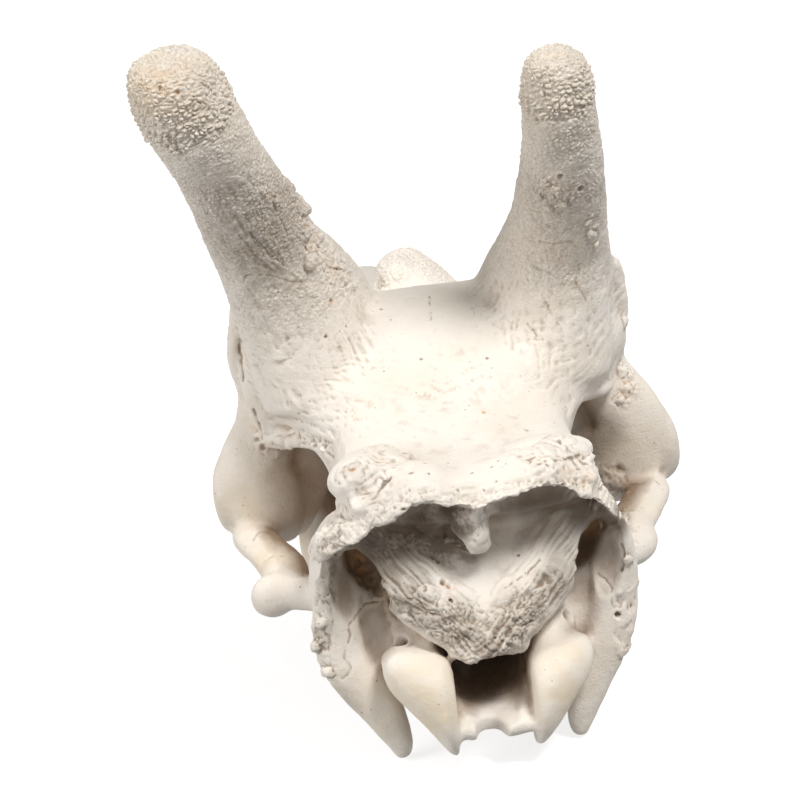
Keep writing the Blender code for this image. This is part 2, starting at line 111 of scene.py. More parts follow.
def limb(group, stations, s=1, side=(1, 0, 0), power=2.0, sides=20, steps=5, facing=None):
    """A closed loft along a smooth path. A station is (x, y, z, half-width along side, half-depth across it).

    An s of -1 turns it to the animal's left. The sections stand square to the path, or to facing if given.
    """
    stations = [(s * x, *rest) for x, *rest in stations]
    bm = bmesh.new()
    rings = []
    count = (len(stations) - 1) * steps
    for k in range(count + 1):
        t = k / steps
        x, y, z, a, b = catmull(stations, t)
        ahead = Vector(catmull(stations, min(t + 0.05, len(stations) - 1))[:3])
        behind = Vector(catmull(stations, max(t - 0.05, 0))[:3])
        along = Vector(facing) if facing else (ahead - behind).normalized()
        across = Vector(side)
        across = (across - across.dot(along) * along).normalized()
        third = along.cross(across)
        ring = []
        for j in range(sides):
            turn = math.tau * j / sides
            cosine, sine = math.cos(turn), math.sin(turn)
            u = math.copysign(abs(cosine) ** (2 / power), cosine) * a
            v = math.copysign(abs(sine) ** (2 / power), sine) * b
            ring.append(bm.verts.new((Vector((x, y, z)) + across * u + third * v) * MM))
        rings.append(ring)
    for low, high in zip(rings, rings[1:]):
        for j in range(sides):
            bm.faces.new((low[j], low[(j + 1) % sides], high[(j + 1) % sides], high[j]))
    for ring in (rings[0], rings[-1]):
        bm.faces.new(ring)
    return mesh_object("limb", bm, group)


def blob(group, centre, radii, turn=(0, 0, 0), detail=3):
    """An ellipsoid. turn is its rotation about X, Y and Z, in degrees."""
    bm = bmesh.new()
    bmesh.ops.create_icosphere(bm, subdivisions=detail, radius=1.0)
    spin = Matrix.Rotation(math.radians(turn[2]), 4, "Z")
    spin @= Matrix.Rotation(math.radians(turn[1]), 4, "Y") @ Matrix.Rotation(math.radians(turn[0]), 4, "X")
    size = Matrix.Diagonal((*[r * MM for r in radii], 1))
    bm.transform(Matrix.Translation(Vector(centre) * MM) @ spin @ size)
    return mesh_object("blob", bm, group)


def shown(name, data):
    """A new object in the scene."""
    made = bpy.data.objects.new(name, data)
    bpy.context.scene.collection.objects.link(made)
    return made


def bake(target):
    """Applies the target's modifiers to its mesh."""
    graph = bpy.context.evaluated_depsgraph_get()
    baked = bpy.data.meshes.new_from_object(target.evaluated_get(graph))
    old = target.data
    target.modifiers.clear()
    target.data = baked
    bpy.data.meshes.remove(old)
    return target


def join(group, name, parts):
    """One object that holds all the parts' shells, which the next remesh unites."""
    bm = bmesh.new()
    for part in parts:
        bm.from_mesh(part.data)
    for part in parts:
        bpy.data.objects.remove(part, do_unlink=True)
    return mesh_object(name, bm, group)


def fuse(target, soften, voxel):
    """Unites overlapping shells into one skin and rounds it over a length of about soften."""
    remesh = target.modifiers.new("unite", "REMESH")
    remesh.mode = "VOXEL"
    remesh.voxel_size = voxel * MM
    smooth = target.modifiers.new("soften", "SMOOTH")
    smooth.factor = 0.5
    smooth.iterations = max(1, round(1.6 * (soften / voxel) ** 2))
    return bake(target)


def carve_out(target, cutter):
    """Takes the cutter's volume out of the target."""
    hole = target.modifiers.new("hollow", "BOOLEAN")
    hole.operation = "DIFFERENCE"
    hole.solver = "MANIFOLD"
    hole.object = cutter
    bake(target)
    bpy.data.objects.remove(cutter, do_unlink=True)
    return target


# The photograph's camera, in the frame of the forms

EYE = Vector((-171.8, -1770.4, 721.8))
HEADING = math.radians(5.5)
DIP = math.radians(20.0)
ROLL = math.radians(5.0)
SENSOR = 36.0
LENS = 151.579
PHOTO_WIDTH = 800  # pixels
FOCAL = LENS / SENSOR * PHOTO_WIDTH  # the focal length in pixels


def camera_axes():
    """The camera's right, up and forward directions."""
    forward = Vector((math.sin(HEADING) * math.cos(DIP), math.cos(HEADING) * math.cos(DIP), -math.sin(DIP)))
    level = Vector((math.cos(HEADING), -math.sin(HEADING), 0))
    upright = level.cross(forward)
    right = math.cos(ROLL) * level - math.sin(ROLL) * upright
    up = math.sin(ROLL) * level + math.cos(ROLL) * upright
    return right, up, forward


def add_camera(shift):
    right, up, forward = camera_axes()
    place = (EYE + shift) * MM
    data = bpy.data.cameras.new("photo_camera")
    data.sensor_width = SENSOR
    data.lens = LENS
    data.clip_end = 100
    camera = shown("photo_camera", data)
    rows = [(right[i], up[i], -forward[i], place[i]) for i in range(3)]
    camera.matrix_world = Matrix([*rows, (0, 0, 0, 1)])
    bpy.context.scene.camera = camera


def landing(bone, pixel):
    """The place on the bone that a pixel of the photograph shows, in mm."""
    right, up, forward = camera_axes()
    half = PHOTO_WIDTH / 2
    sight = forward + right * ((pixel[0] - half) / FOCAL) - up * ((pixel[1] - half) / FOCAL)
    hit, place, _, _ = bone.ray_cast(EYE * MM, sight.normalized())
    return place / MM if hit else None


# Noise over places. It all comes from one whole-number hash, so each run gives the same surface


def hashed(cell, seed):
    """A number from 0 to 1 for each row of whole numbers."""
    h = cell[:, 0] * 374761393 + cell[:, 1] * 668265263 + cell[:, 2] * 2147483647 + seed * 144665
    h &= 0xFFFFFFFF
    h = ((h ^ (h >> 13)) * 1274126177) & 0xFFFFFFFF
    return ((h ^ (h >> 16)) & 0xFFFF) / 65535.0


def hills(places, size, seed):
    """Smooth noise from -1 to 1, with hills and dips of about that size."""
    places = places / size
    base = np.floor(places).astype(np.int64)
    part = places - base
    part = part * part * (3 - 2 * part)
    total = np.zeros(len(places))
    for corner in itertools.product((0, 1), repeat=3):
        weight = np.prod(np.where(corner, part, 1 - part), axis=1)
        total += weight * hashed(base + np.array(corner), seed)
    return 2 * total - 1


def rugged(places, size, seed, octaves=3):
    """Hills with smaller hills on them, from about -1 to 1."""
    return sum(0.55 ** k * hills(places, size * 0.5 ** k, seed + k) for k in range(octaves)) / 1.5


def cells(places, size, seed):
    """Scattered points, one to a cell: the gaps to the nearest two, in cells, and the nearest's number."""
    places = places / size
    base = np.floor(places).astype(np.int64)
    part = places - base
    first = np.full(len(places), 9.0)
    second = first.copy()
    mark = np.zeros(len(places))
    for step in itertools.product((-1, 0, 1), repeat=3):
        cell = base + np.array(step)
        jitter = np.stack([hashed(cell, seed + k) for k in range(3)], axis=1)
        gap = np.sqrt(((step + jitter - part) ** 2).sum(axis=1))
        closer = gap < first
        second = np.where(closer, first, np.minimum(second, gap))
        mark = np.where(closer, hashed(cell, seed + 3), mark)
        first = np.minimum(first, gap)
    return first, second, mark


def bent(places, size, seed):
    """Three hills at once, to bend places with."""
    return np.stack([hills(places, size, seed + k) for k in range(3)], axis=1)


def ease(low, high, value):
    """0 below low, 1 above high and smooth between; low may be the larger."""
    t = np.clip((value - low) / (high - low), 0, 1)
    return t * t * (3 - 2 * t)


def granules(places, size, seed):
    """Rounded grains with creases between them, from 0 in a crease to about 1 on a grain."""
    first, second, mark = cells(places, size, seed)
    dome = np.sqrt(np.clip(1 - (first / 0.88) ** 2, 0, 1))
    return dome * ease(-0.10, 0.55, second - first) * (0.60 + 0.40 * mark)


# The skin: the bone's vertices as rows of numbers


class Skin:
    """The vertices of a mesh, in mm, with their normals."""

    def __init__(self, piece):
        self.mesh = piece.data
        count = len(self.mesh.vertices)
        self.at = np.empty(count * 3)
        self.mesh.vertices.foreach_get("co", self.at)
        self.at = self.at.reshape(-1, 3) / MM
        self.out = np.empty((count, 3))
        self.read_normals()

    def read_normals(self):
        flat = np.empty(len(self.at) * 3, np.float32)
        self.mesh.vertex_normals.foreach_get("vector", flat)
        self.out = flat.reshape(-1, 3).astype(float)

    def settle(self):
        """Writes the places back and takes the new normals."""
        self.mesh.vertices.foreach_set("co", (self.at * MM).ravel())
        self.mesh.update()
        self.read_normals()

    def near(self, places, reach):
        """The vertices within reach of any of the places: their numbers, gaps and nearest places' numbers."""
        places = np.atleast_2d(np.array(places, float))
        inside = ((self.at > places.min(0) - reach) & (self.at < places.max(0) + reach)).all(axis=1)
        found = np.flatnonzero(inside)
        gaps = np.full(len(found), np.inf)
        nearest = np.zeros(len(found), int)
        for k, place in enumerate(places):
            gap = ((self.at[found] - place) ** 2).sum(axis=1)
            closer = gap < gaps
            gaps[closer] = gap[closer]
            nearest[closer] = k
        gaps = np.sqrt(gaps)
        keep = gaps < reach
        return found[keep], gaps[keep], nearest[keep]

    def lift(self, rows, amount):
        """Moves these vertices out along their normals by amount, in mm."""
        self.at[rows] += self.out[rows] * np.asarray(amount)[:, None]


def trail(bone, pixels, step=1.0, wander=0.0, seed=0):
    """Places on the skin along a line through pixels of the photograph, close together."""
    corners = [p for p in (landing(bone, pixel) for pixel in pixels) if p is not None]
    if len(corners) < 2:
        return np.array([list(c) for c in corners] or [[0, 0, -999.0]])
    places = []
    for k, (a, b) in enumerate(zip(corners, corners[1:])):
        parts = max(1, round((b - a).length / step))
        places += [catmull(corners, k + i / parts) for i in range(parts)]
    places = np.array(places + [list(corners[-1])])
    return places + wander * bent(places, 3.0, seed)


# Heavy forms: the masses that flow into each other. A side s is 1 for the animal's right, -1 for its left


def braincase(g):
    return limb(g, [
        (0, -292, 88, 50, 34), (0, -270, 92, 58, 44), (0, -235, 98, 61, 52), (0, -200, 104, 56, 56),
        (0, -165, 108, 50, 58), (0, -125, 106, 44, 58), (0, -80, 102, 42, 60),
    ], power=2.3)


def roof(g):
    """The parietal roof behind, which widens into the frontal bones over the eye sockets."""
    return limb(g, [
        (0, -322, 140, 60, 8), (0, -305, 137, 61, 13), (0, -280, 130, 59, 19), (0, -250, 127, 59, 26),
        (0, -218, 127, 61, 36), (0, -193, 138, 78, 40), (1, -170, 157, 99, 34), (1, -145, 153, 101, 33),
        (0, -115, 142, 93, 32), (0, -85, 132, 74, 32), (0, -50, 122, 54, 34),
    ], power=2.7, sides=28)


OSSICONE_LEFT = (
    (-54, -146, 150, 42, 38), (-62, -162, 190, 35.5, 36), (-77, -188, 226, 27.5, 28),
    (-89, -213, 261, 24.5, 24), (-100.5, -230, 290, 22.5, 23), (-110, -240, 312, 23.3, 24),
    (-117.5, -246, 331, 24, 24), (-121.5, -249, 343, 20, 21), (-122.5, -250, 348.5, 11, 12),
)
OSSICONE_RIGHT = (
    (59, -148, 148, 44, 38), (62, -164, 184, 36.5, 36), (64.5, -186, 214, 28, 27),
    (65.5, -208, 243, 23.5, 22.5), (65, -229, 275, 20, 20.5), (63, -240, 298, 18.2, 19),
    (62, -246, 314, 17.6, 18), (60.5, -249, 326, 14.5, 15), (60, -250, 331, 7, 7),
)


def horn_roots(g):
    """The bone that rises behind each ossicone's base, so that the frontal bone runs up into it."""
    left = limb(g, [
        (-58, -190, 150, 30, 22), (-64, -188, 178, 30, 24), (-72, -192, 205, 27, 22),
        (-80, -203, 232, 24, 17),
    ])
    right = limb(g, [
        (58, -191, 148, 30, 21), (61, -189, 176, 29, 22), (63, -193, 203, 25, 20), (65, -205, 230, 21, 16),
    ])
    return [left, right]


def median_ossicone(g):
    return limb(g, [
        (3, -56, 106, 46, 60), (3, -60, 137, 38, 52), (2, -64, 156, 27, 38), (0, -66, 168, 18, 27),
        (-2, -68, 175, 12, 17), (-2, -68, 179, 6, 8),
    ])


def face(g):
    """The long snout: the maxillae and the nasal bones on top of them."""
    return limb(g, [
        (0, -100, 92, 56, 68), (0, -60, 90, 56, 66), (0, -20, 85, 52, 62), (0, 30, 80, 47, 54),
        (0, 80, 73, 41, 48), (0, 120, 66, 35, 43), (0, 160, 60, 30, 37), (0, 200, 53, 27, 30),
        (0, 232, 44, 26, 20), (0, 256, 36, 26, 12),
    ], power=2.6, sides=24)


def cheek(g, s):
    """The maxilla over the tooth row, from behind the last molar to the diastema."""
    return limb(g, [
        (42, -108, 48, 16, 24), (50, -78, 46, 20, 33), (51, -30, 46, 20, 33),
        (47, 20, 44, 17, 31), (42, 62, 42, 14, 28), (34, 100, 41, 10.5, 22), (28, 132, 42, 6.5, 15),
        (25, 158, 43, 3, 8),
    ], s)


def brow(g, s):
    """From the front of the eye socket down into the side of the face."""
    return limb(g, [
        (70, -90, 104, 18, 34), (62, -66, 98, 17, 36), (50, -36, 90, 14, 32), (42, 0, 84, 9, 24),
    ], s)


def eye_wall(g, s):
    """The wall that closes the eye socket towards the temporal fossa."""
    return limb(g, [
        (72, -154, 150, 24, 14), (76, -156, 120, 28, 13), (80, -156, 94, 25, 12),
        (84, -154, 76, 20, 11), (86, -152, 66, 16, 9),
    ], s)


def skull_base(g):
    return limb(g, [
        (0, -333, 22, 21, 5.5), (0, -322, 25, 23, 7), (0, -300, 31, 24, 12), (0, -260, 41, 27, 14),
        (0, -215, 47, 25, 17), (0, -170, 58, 19, 19), (0, -120, 66, 18, 20),
    ], power=2.3)


def heavy_forms(g):
    forms = [braincase(g), roof(g), limb(g, OSSICONE_LEFT), limb(g, OSSICONE_RIGHT), median_ossicone(g)]
    forms += [face(g), skull_base(g)]
    forms += horn_roots(g)
    for s in (-1, 1):
        forms += [cheek(g, s), brow(g, s), eye_wall(g, s), blob(g, (s * 59, -261, 77), (20, 31, 40))]
        forms.append(blob(g, (s * 78, -100, 122), (18, 20, 22)))
        forms.append(blob(g, (s * 58, -108, 64), (17, 32, 24)))
        forms.append(blob(g, (s * 62, -120, 45), (11, 23, 21)))
    return forms


def wide_hollows(g):
    """The eye sockets, the fossae behind them, the roof of the mouth, the choana and the nose."""
    nose = [
        (0, 330, 62, 22, 28), (0, 262, 62, 22, 32), (0, 226, 64, 20, 30), (0, 196, 62, 19, 24),
        (0, 150, 62, 17, 22), (0, 90, 70, 14, 22), (0, 30, 78, 12, 22),
    ]
    palate = [
        (0, -170, 8, 24, 30), (0, -110, 6, 27, 24), (0, -60, 4, 30, 21), (0, 0, 4, 29, 19),
        (0, 70, 4, 25, 17), (0, 130, 4, 18, 18), (0, 200, 2, 20, 18), (0, 300, 2, 20, 14),
    ]
    choana = [(0, -170, 34, 14, 24), (0, -130, 38, 15, 22), (0, -90, 44, 14, 15)]
    hollows = [limb(g, nose), limb(g, palate), limb(g, choana)]
    for s in (-1, 1):
        hollows.append(blob(g, (s * 88, -124, 103), (34, 31, 31)))
        hollows.append(limb(g, [
            (89, -228, 86, 28, 50), (85, -203, 96, 29, 46), (82, -178, 101, 24, 37), (79, -167, 100, 17, 24),
        ], s))
        hollows.append(limb(g, [(78, -190, 44, 22, 18), (74, -160, 48, 18, 16), (66, -140, 52, 10, 10)], s))
    return hollows


# Slender forms: bars, arches, rims, flanges and knuckles


def occipital_plate(g):
    """The plate between the nuchal crest and the foramen magnum, with a thick band on each side of its V."""
    plate = limb(g, [
        (0, -272, 130, 50, 14), (0, -280, 108, 46, 16), (0, -289, 92, 38, 17), (0, -300, 79, 29, 17),
        (0, -312, 66, 22, 16), (0, -316, 56, 18, 13),
    ], power=2.4)
    left = limb(g, [
        (-58, -292, 126, 12, 10), (-50, -294, 112, 15, 12), (-40, -298, 99, 16.5, 13),
        (-27, -303, 86, 17, 14), (-13, -311, 73, 15, 14), (-4, -316, 63, 10, 12), (-2, -318, 58, 6, 9),
    ])
    right = limb(g, [
        (60, -292, 124, 11, 10), (51, -294, 112, 14, 12), (40, -298, 99, 16, 13), (27, -303, 86, 17, 14),
        (13, -311, 74, 15, 14), (4, -316, 63, 10, 12), (2, -318, 58, 6, 9),
    ])
    return [plate, left, right]


def crest(g):
    """The nuchal crest, a rough ledge that slopes down to its edge and overhangs the occiput."""
    return limb(g, [
        (-77, -303, 113, 7, 5), (-68, -307, 123, 13, 5), (-51, -312, 135, 17, 5.5), (-34, -315, 146, 17, 5.5),
        (-20, -317, 147, 16, 5.5), (-5, -315, 139, 15, 6), (8, -317, 144, 16, 5.5), (28, -316, 149, 17, 5.5),
        (46, -312, 143, 17, 5.5), (60, -307, 129, 13, 5), (68, -303, 115, 7, 4.5),
    ], side=(0, 1, 0.33), facing=(1, 0, 0))


def nuchal_wall(g, s):
    """The wall between the V's band and the mastoid flange, which closes the skull's side behind."""
    return limb(g, [
        (55, -280, 114, 13, 9), (55, -279, 94, 17, 9), (54, -280, 74, 18, 10), (48, -284, 56, 18, 11),
        (42, -288, 38, 14, 10),
    ], s)


def flange(g, s):
    """The mastoid flange from the crest's end down to the tip of the paroccipital process."""
    w = FLANGE_BULGE[s]
    return limb(g, [
        (58 + w, -298, 114, 11.5, 8), (65, -296, 98, 11.5, 7), (67 + 0.6 * w, -294, 76, 11.5, 7),
        (62 + w, -296, 52, 12, 7.5), (51 + 0.4 * w, -298, 29, 11, 7.5), (44.5, -300, 10, 7, 6),
        (43.5, -301, 1, 3.5, 4),
    ], s)


def condyle(g, s):
    """The knuckle on the neck: from behind a quarter of an ellipse, upright inside and flat on top."""
    rise = CONDYLE_RISE[s]
    rows = [
        (50.5, -309, 53.5, 4.5, 8), (48, -311, 52, 9.5, 12), (42, -313, 49, 14.5, 16),
        (36, -315, 45.5, 18, 18), (29, -317, 40, 22, 19), (23, -319, 35, 25, 18.5),
        (18.5, -319, 31.5, 24, 15),
    ]
    knuckle = limb(g, [(x, y, 13 + (z - 13) * rise, a * rise, b) for x, y, z, a, b in rows], s,
                   side=(0, 0, 1), power=2.3, sides=24, facing=(1, 0, 0))
    return [knuckle, limb(g, [(30, -312, 45, 11, 15), (34, -284, 54, 15, 22)], s)]


def zygomatic_arch(g, s):
    w, c = EYE_SPREAD[s], EYE_CORNER[s]
    return limb(g, [
        (56, -250, 66, 14, 13), (74, -240, 66, 10, 9), (87, -229, 67, 13, 10),
        (93 * w - 0.8 * c, -214, 70, 12.5, 9), (95 * w, -196, 73, 12, 7),
        (98 * w + 0.5 * c, -178, 74, 12, 7), (95 * w + 0.6 * c, -160, 73, 13, 7),
    ], s)


def postorbital_bar(g, s):
    w = EYE_SPREAD[s]
    return limb(g, [
        (78, -156, 146, 16, 12), (86 * w, -163, 132, 16, 9), (97 * w, -168, 110, 19, 7),
        (94 * w, -168, 94, 21, 6), (91 * w, -167, 79, 18, 6), (93 * w, -163, 68, 15, 7),
    ], s)


def eye_rim(g, s):
    """The whole ring of bone round the eye socket, which leans out behind and in on top."""
    w, c = EYE_SPREAD[s], EYE_CORNER[s]
    rim = [
        (88, -120, 136, 7, 7), (91, -142, 131, 7, 6), (100, -157, 121, 7, 6), (111, -165, 106, 8, 6),
        (110 + 0.6 * c, -164, 89, 7, 6), (104 + c, -156, 76, 7, 6), (98, -134, 67, 7, 6),
        (94, -112, 68, 7, 6), (87, -96, 78, 7, 7), (84, -90, 96, 7, 7), (84, -94, 116, 7, 7),
        (86, -106, 130, 7, 7), (88, -120, 136, 7, 7),
    ]
    return limb(g, [(x * w, y, z, a, b) for x, y, z, a, b in rim], s)


def frontal_edges(g, s):
    """The frontal bone's sheet behind the eye socket, its edge over the temporal fossa, and a flap."""
    e = EDGE_RISE[s]
    sheet = limb(g, [
        (60, -170, 192, 34, 9), (63, -171, 172, 34, 9), (66, -173, 153 + e / 2, 32, 9),
        (68, -176, 138 + e, 28, 7), (69, -180, 130 + e, 22, 4.5),
    ], s, power=2.6)
    ledge = limb(g, [
        (88, -172, 131 + e / 2, 8, 5), (82, -176, 128 + e, 9, 5), (75, -183, 128 + e, 9, 4.5),
        (67, -195, 131 + e, 8, 4.5), (60, -210, 133 + e, 7, 5), (52, -226, 130, 6, 5),
    ], s)
    w = FLAP_RISE[s]
    flap = limb(g, [
        (95, -174, 197 + w, 4, 5), (98, -171, 183 + w, 3.5, 5), (100, -168, 169 + w, 3, 5),
        (98.5, -166, 156 + w, 2.5, 4),
    ], s)
    return [sheet, ledge, flap]


def nasal_bones(g):
    return limb(g, [
        (0, 10, 127, 24, 8), (0, 60, 117, 22, 8), (0, 120, 104, 19, 7), (0, 170, 94, 16, 6),
        (0, 198, 88, 9, 4), (0, 212, 84, 4, 3),
    ])


def premaxilla(g, s):
    return limb(g, [
        (24, 140, 60, 5, 20), (25, 190, 52, 5, 20), (26, 220, 44, 5, 16), (28, 250, 33, 6, 11),
        (30, 285, 25, 8, 7), (26, 315, 21, 10, 5.5), (17, 336, 19, 8, 4),
    ], s)


def palate_front(g, s):
    return limb(g, [
        (16, 170, 33, 9, 7), (14, 215, 28, 8, 6), (10, 255, 25, 6, 5), (7, 296, 22, 4, 4),
    ], s)


def pterygoid(g, s):
    return limb(g, [
        (20, -186, 46, 4, 16), (22, -155, 38, 4.5, 24), (24, -120, 34, 5, 22), (28, -96, 32, 7, 18),
    ], s)


def slender_forms(g):
    forms = [*occipital_plate(g), crest(g), nasal_bones(g)]
    for s in (-1, 1):
        forms += [flange(g, s), zygomatic_arch(g, s), postorbital_bar(g, s), eye_rim(g, s), premaxilla(g, s)]
        forms += [palate_front(g, s), pterygoid(g, s), *condyle(g, s), *frontal_edges(g, s)]
        forms.append(nuchal_wall(g, s))
        forms.append(blob(g, (s * 40, -262, 40), (13, 21, 16)))
    forms.append(blob(g, (-48, -293, 146), (17, 25, 12), turn=(0, 0, -40)))
    forms.append(blob(g, (38, -288, 143), (22, 17, 10)))
    forms.append(blob(g, (-95, -233, 65), (12, 9, 12)))
    forms.append(limb(g, [
        (-7, -308, 140, 17, 8), (-5, -311, 130, 13, 8), (-2, -312, 119, 8, 8), (0, -311, 109, 4, 5),
    ]))
    return forms


def narrow_hollows(g):
    """Foramen magnum with the brain's chamber, the pits under the crest, ears and nerve openings."""
    hollows = [
        limb(g, [
            (0, -356, 36, 18, 19), (0, -322, 40.5, 18, 14.5), (0, -290, 43, 18, 14.5), (0, -268, 56, 26, 22),
        ]),
        limb(g, [(0, -296, 47, 17, 15), (0, -260, 55, 17, 14), (0, -206, 57, 15, 14)], power=3.0),
        blob(g, (0, -232, 83), (40, 56, 39)),
        blob(g, (-3, -338, 18), (8.5, 19, 24)),
    ]
    for s in (-1, 1):
        w = EYE_SPREAD[s]
        hollows.append(blob(g, (s * 104 * w, -127, 101), (26, 28, 27)))
        hollows.append(blob(g, (s * 30, -322, 126), (28, 20, 15), turn=(20, s * 14, 0)))
        hollows.append(blob(g, (s * 59, -311, 92), (14, 20, 27), turn=(0, s * 4, 0)))
        hollows.append(blob(g, (s * 53, -298, 96), (7, 20, 18), turn=(0, s * 30, 0)))
        hollows.append(limb(g, [(90, -262, 60, 6, 6), (58, -260, 56, 5, 5)], s, side=(0, 1, 0)))
        hollows.append(limb(g, [(60, 92, 48, 6, 7), (30, 56, 46, 5, 6)], s, side=(0, 1, 0)))
    return hollows


def grow_bone(g, voxel):
    """The whole bone. Heavy forms flow into each other more softly than slender ones."""
    bone = fuse(join(g, "cranium", heavy_forms(g)), 8.0, voxel)
    carve_out(bone, fuse(join(g, "wide_hollow", wide_hollows(g)), 4.0, voxel))
    bone = fuse(join(g, "cranium", [bone] + slender_forms(g)), 4.5, voxel)
    carve_out(bone, fuse(join(g, "narrow_hollow", narrow_hollows(g)), 3.0, voxel))
    return fuse(bone, 2.5, voxel)


# What the photograph shows on the skin, by pixel

PITS = (  # pixel x and y, radius and depth in mm
    (147, 68, 1.6, 1.6), (174, 69, 1.4, 1.4), (158, 87, 1.5, 1.5), (177, 91, 1.5, 1.5), (186, 85, 1.2, 1.2),
    (302, 219, 2.2, 2.6), (318, 249, 2.2, 2.4), (306, 249, 1.6, 2.0), (332, 302, 1.3, 1.6),
    (561, 176, 1.6, 2.0), (528, 176, 1.5, 1.8), (581, 189, 1.8, 2.0), (603, 275, 1.3, 1.6),
    (352, 470, 2.0, 3.0), (411, 473, 1.6, 2.4), (331, 515, 1.8, 2.0), (484, 412, 1.3, 1.8),
    (527, 429, 1.3, 1.8), (524, 437, 1.1, 1.4), (331, 301, 1.2, 1.4), (347, 326, 1.1, 1.2),
    (326, 337, 1.1, 1.2), (381, 309, 0.9, 1.0), (487, 358, 1.0, 1.0), (421, 359, 0.9, 1.0),
    (425, 463, 0.9, 1.2), (448, 463, 0.8, 1.0), (472, 473, 0.9, 1.2), (492, 467, 0.8, 1.0),
    (498, 461, 0.8, 1.0), (523, 452, 0.9, 1.2), (458, 491, 1.1, 1.4), (483, 491, 1.0, 1.2),
    (496, 481, 0.9, 1.2), (429, 474, 0.9, 1.2), (432, 558, 1.6, 2.8), (443, 583, 1.9, 3.0),
    (448, 587, 1.6, 2.4), (437, 562, 1.5, 2.4), (450, 600, 1.2, 1.4), (518, 555, 0.9, 1.2),
    (618, 615, 1.8, 2.4), (401, 643, 3.4, 5.0), (568, 617, 3.2, 5.0), (567, 467, 1.8, 2.2),
    (592, 472, 1.8, 2.2), (383, 458, 1.2, 1.2),
)
NODULES = (  # pixel x and y, radius and height in mm
    (258, 175, 5.5, 1.0), (247, 190, 4.0, 0.6), (285, 184, 3.2, 1.0), (302, 210, 3.4, 2.8),
    (306, 233, 3.0, 2.4), (320, 237, 2.8, 2.2), (330, 248, 2.4, 2.0), (310, 261, 4.2, 3.6),
    (345, 280, 2.0, 1.4), (353, 285, 1.8, 1.2), (296, 196, 2.6, 1.8), (276, 200, 2.2, 1.2),
    (591, 234, 2.4, 2.0), (588, 222, 2.0, 1.6), (596, 244, 1.8, 1.4), (545, 184, 2.2, 1.6),
    (556, 190, 2.4, 1.8), (540, 196, 2.0, 1.4), (563, 204, 2.2, 1.6), (550, 208, 2.0, 1.4),
    (465, 519, 5.0, 1.6), (480, 534, 4.0, 1.4), (555, 443, 7.0, 2.0), (572, 449, 6.0, 1.8),
    (317, 647, 3.0, 2.6), (328, 672, 3.2, 2.8), (321, 622, 2.6, 1.8), (627, 560, 2.6, 1.6),
    (623, 372, 2.6, 2.0), (281, 441, 1.8, 1.6), (290, 445, 1.6, 1.8), (302, 441, 1.8, 1.6),
    (312, 444, 1.6, 1.8), (322, 449, 1.6, 1.4),
    (628, 388, 2.4, 1.8), (621, 400, 2.2, 1.6), (625, 322, 3.0, 1.6),
)
CRACKS = (  # pixels along it, half-width and depth in mm
    (((429, 296), (430, 308), (431, 320)), 0.5, 0.6), (((537, 336), (533, 330), (527, 324)), 0.5, 0.5),
    (((542, 296), (550, 310), (558, 325)), 0.5, 0.4), (((325, 266), (333, 268), (340, 270)), 0.9, 1.4),
    (((333, 505), (352, 507), (373, 499), (382, 488), (394, 476), (409, 463)), 0.7, 0.8),
    (((443, 512), (446, 525), (445, 539)), 0.8, 1.6), (((540, 560), (525, 575), (505, 588)), 0.6, 0.9),
    (((622, 545), (624, 557), (621, 570)), 1.0, 1.4), (((239, 338), (241, 358), (243, 380)), 0.9, 1.6),
    (((575, 282), (586, 300), (594, 312)), 0.6, 0.4), (((254, 410), (259, 425), (262, 439)), 0.9, 1.4),
    (((545, 463), (560, 460), (574, 457), (584, 452)), 0.9, 1.8),
    (((520, 455), (530, 461), (542, 466)), 0.8, 1.2), (((430, 535), (452, 545), (470, 553)), 0.8, 1.2),
    (((239, 234), (256, 256), (276, 273)), 0.5, 0.5), (((246, 228), (268, 252), (298, 277)), 0.5, 0.5),
)
SUTURES = (  # pixels along it, half-width, depth and wander in mm
    (((245, 280), (247, 275), (261, 274), (276, 277), (289, 281), (300, 282), (316, 281), (325, 283),
      (337, 285)), 0.6, 0.8, 0.8),
    (((541, 242), (555, 244), (570, 241), (576, 247)), 0.5, 0.6, 0.6),
    (((533, 252), (531, 259), (536, 269), (550, 274), (561, 279), (573, 269), (586, 260), (594, 264)),
     0.5, 0.6, 0.6),
    (((253, 540), (262, 532), (275, 535)), 0.6, 0.8, 0.6),
    (((262, 562), (272, 556), (283, 555)), 0.6, 0.8, 0.6),
    (((300, 553), (303, 564), (303, 575)), 0.6, 0.7, 0.5),
    (((378, 603), (362, 607), (350, 625), (349, 640), (345, 655), (350, 670), (343, 678)), 0.6, 0.9, 0.9),
    (((574, 560), (588, 563), (600, 575), (610, 585), (613, 605), (620, 617)), 0.6, 1.0, 0.9),
    (((620, 485), (640, 483), (650, 478), (660, 484)), 0.6, 0.8, 0.5),
)
RIDGES = (  # pixels along it, half-width and height in mm
    (((234, 178), (248, 186), (263, 192)), 2.0, 0.8), (((236, 222), (253, 246), (273, 267)), 1.0, 0.8),
    (((248, 238), (272, 260), (302, 279)), 1.0, 0.8), (((238, 246), (250, 260), (264, 270)), 0.9, 0.6),
    (((256, 228), (268, 240), (280, 256)), 0.9, 0.6), (((240, 212), (250, 228), (262, 240)), 0.9, 0.6),
    (((337, 501), (370, 484), (403, 461)), 2.5, 1.4),
    (((345, 489), (372, 470), (396, 450)), 2.2, 1.0), (((340, 478), (362, 460), (380, 446)), 2.0, 0.8),
    (((415, 526), (436, 539), (470, 556)), 2.2, 2.0),
    (((357, 562), (376, 578), (387, 599), (392, 617), (399, 638)), 2.4, 2.2),
    (((512, 457), (525, 463), (537, 469), (548, 461), (563, 459), (579, 454), (584, 451)), 1.8, 1.2),
)
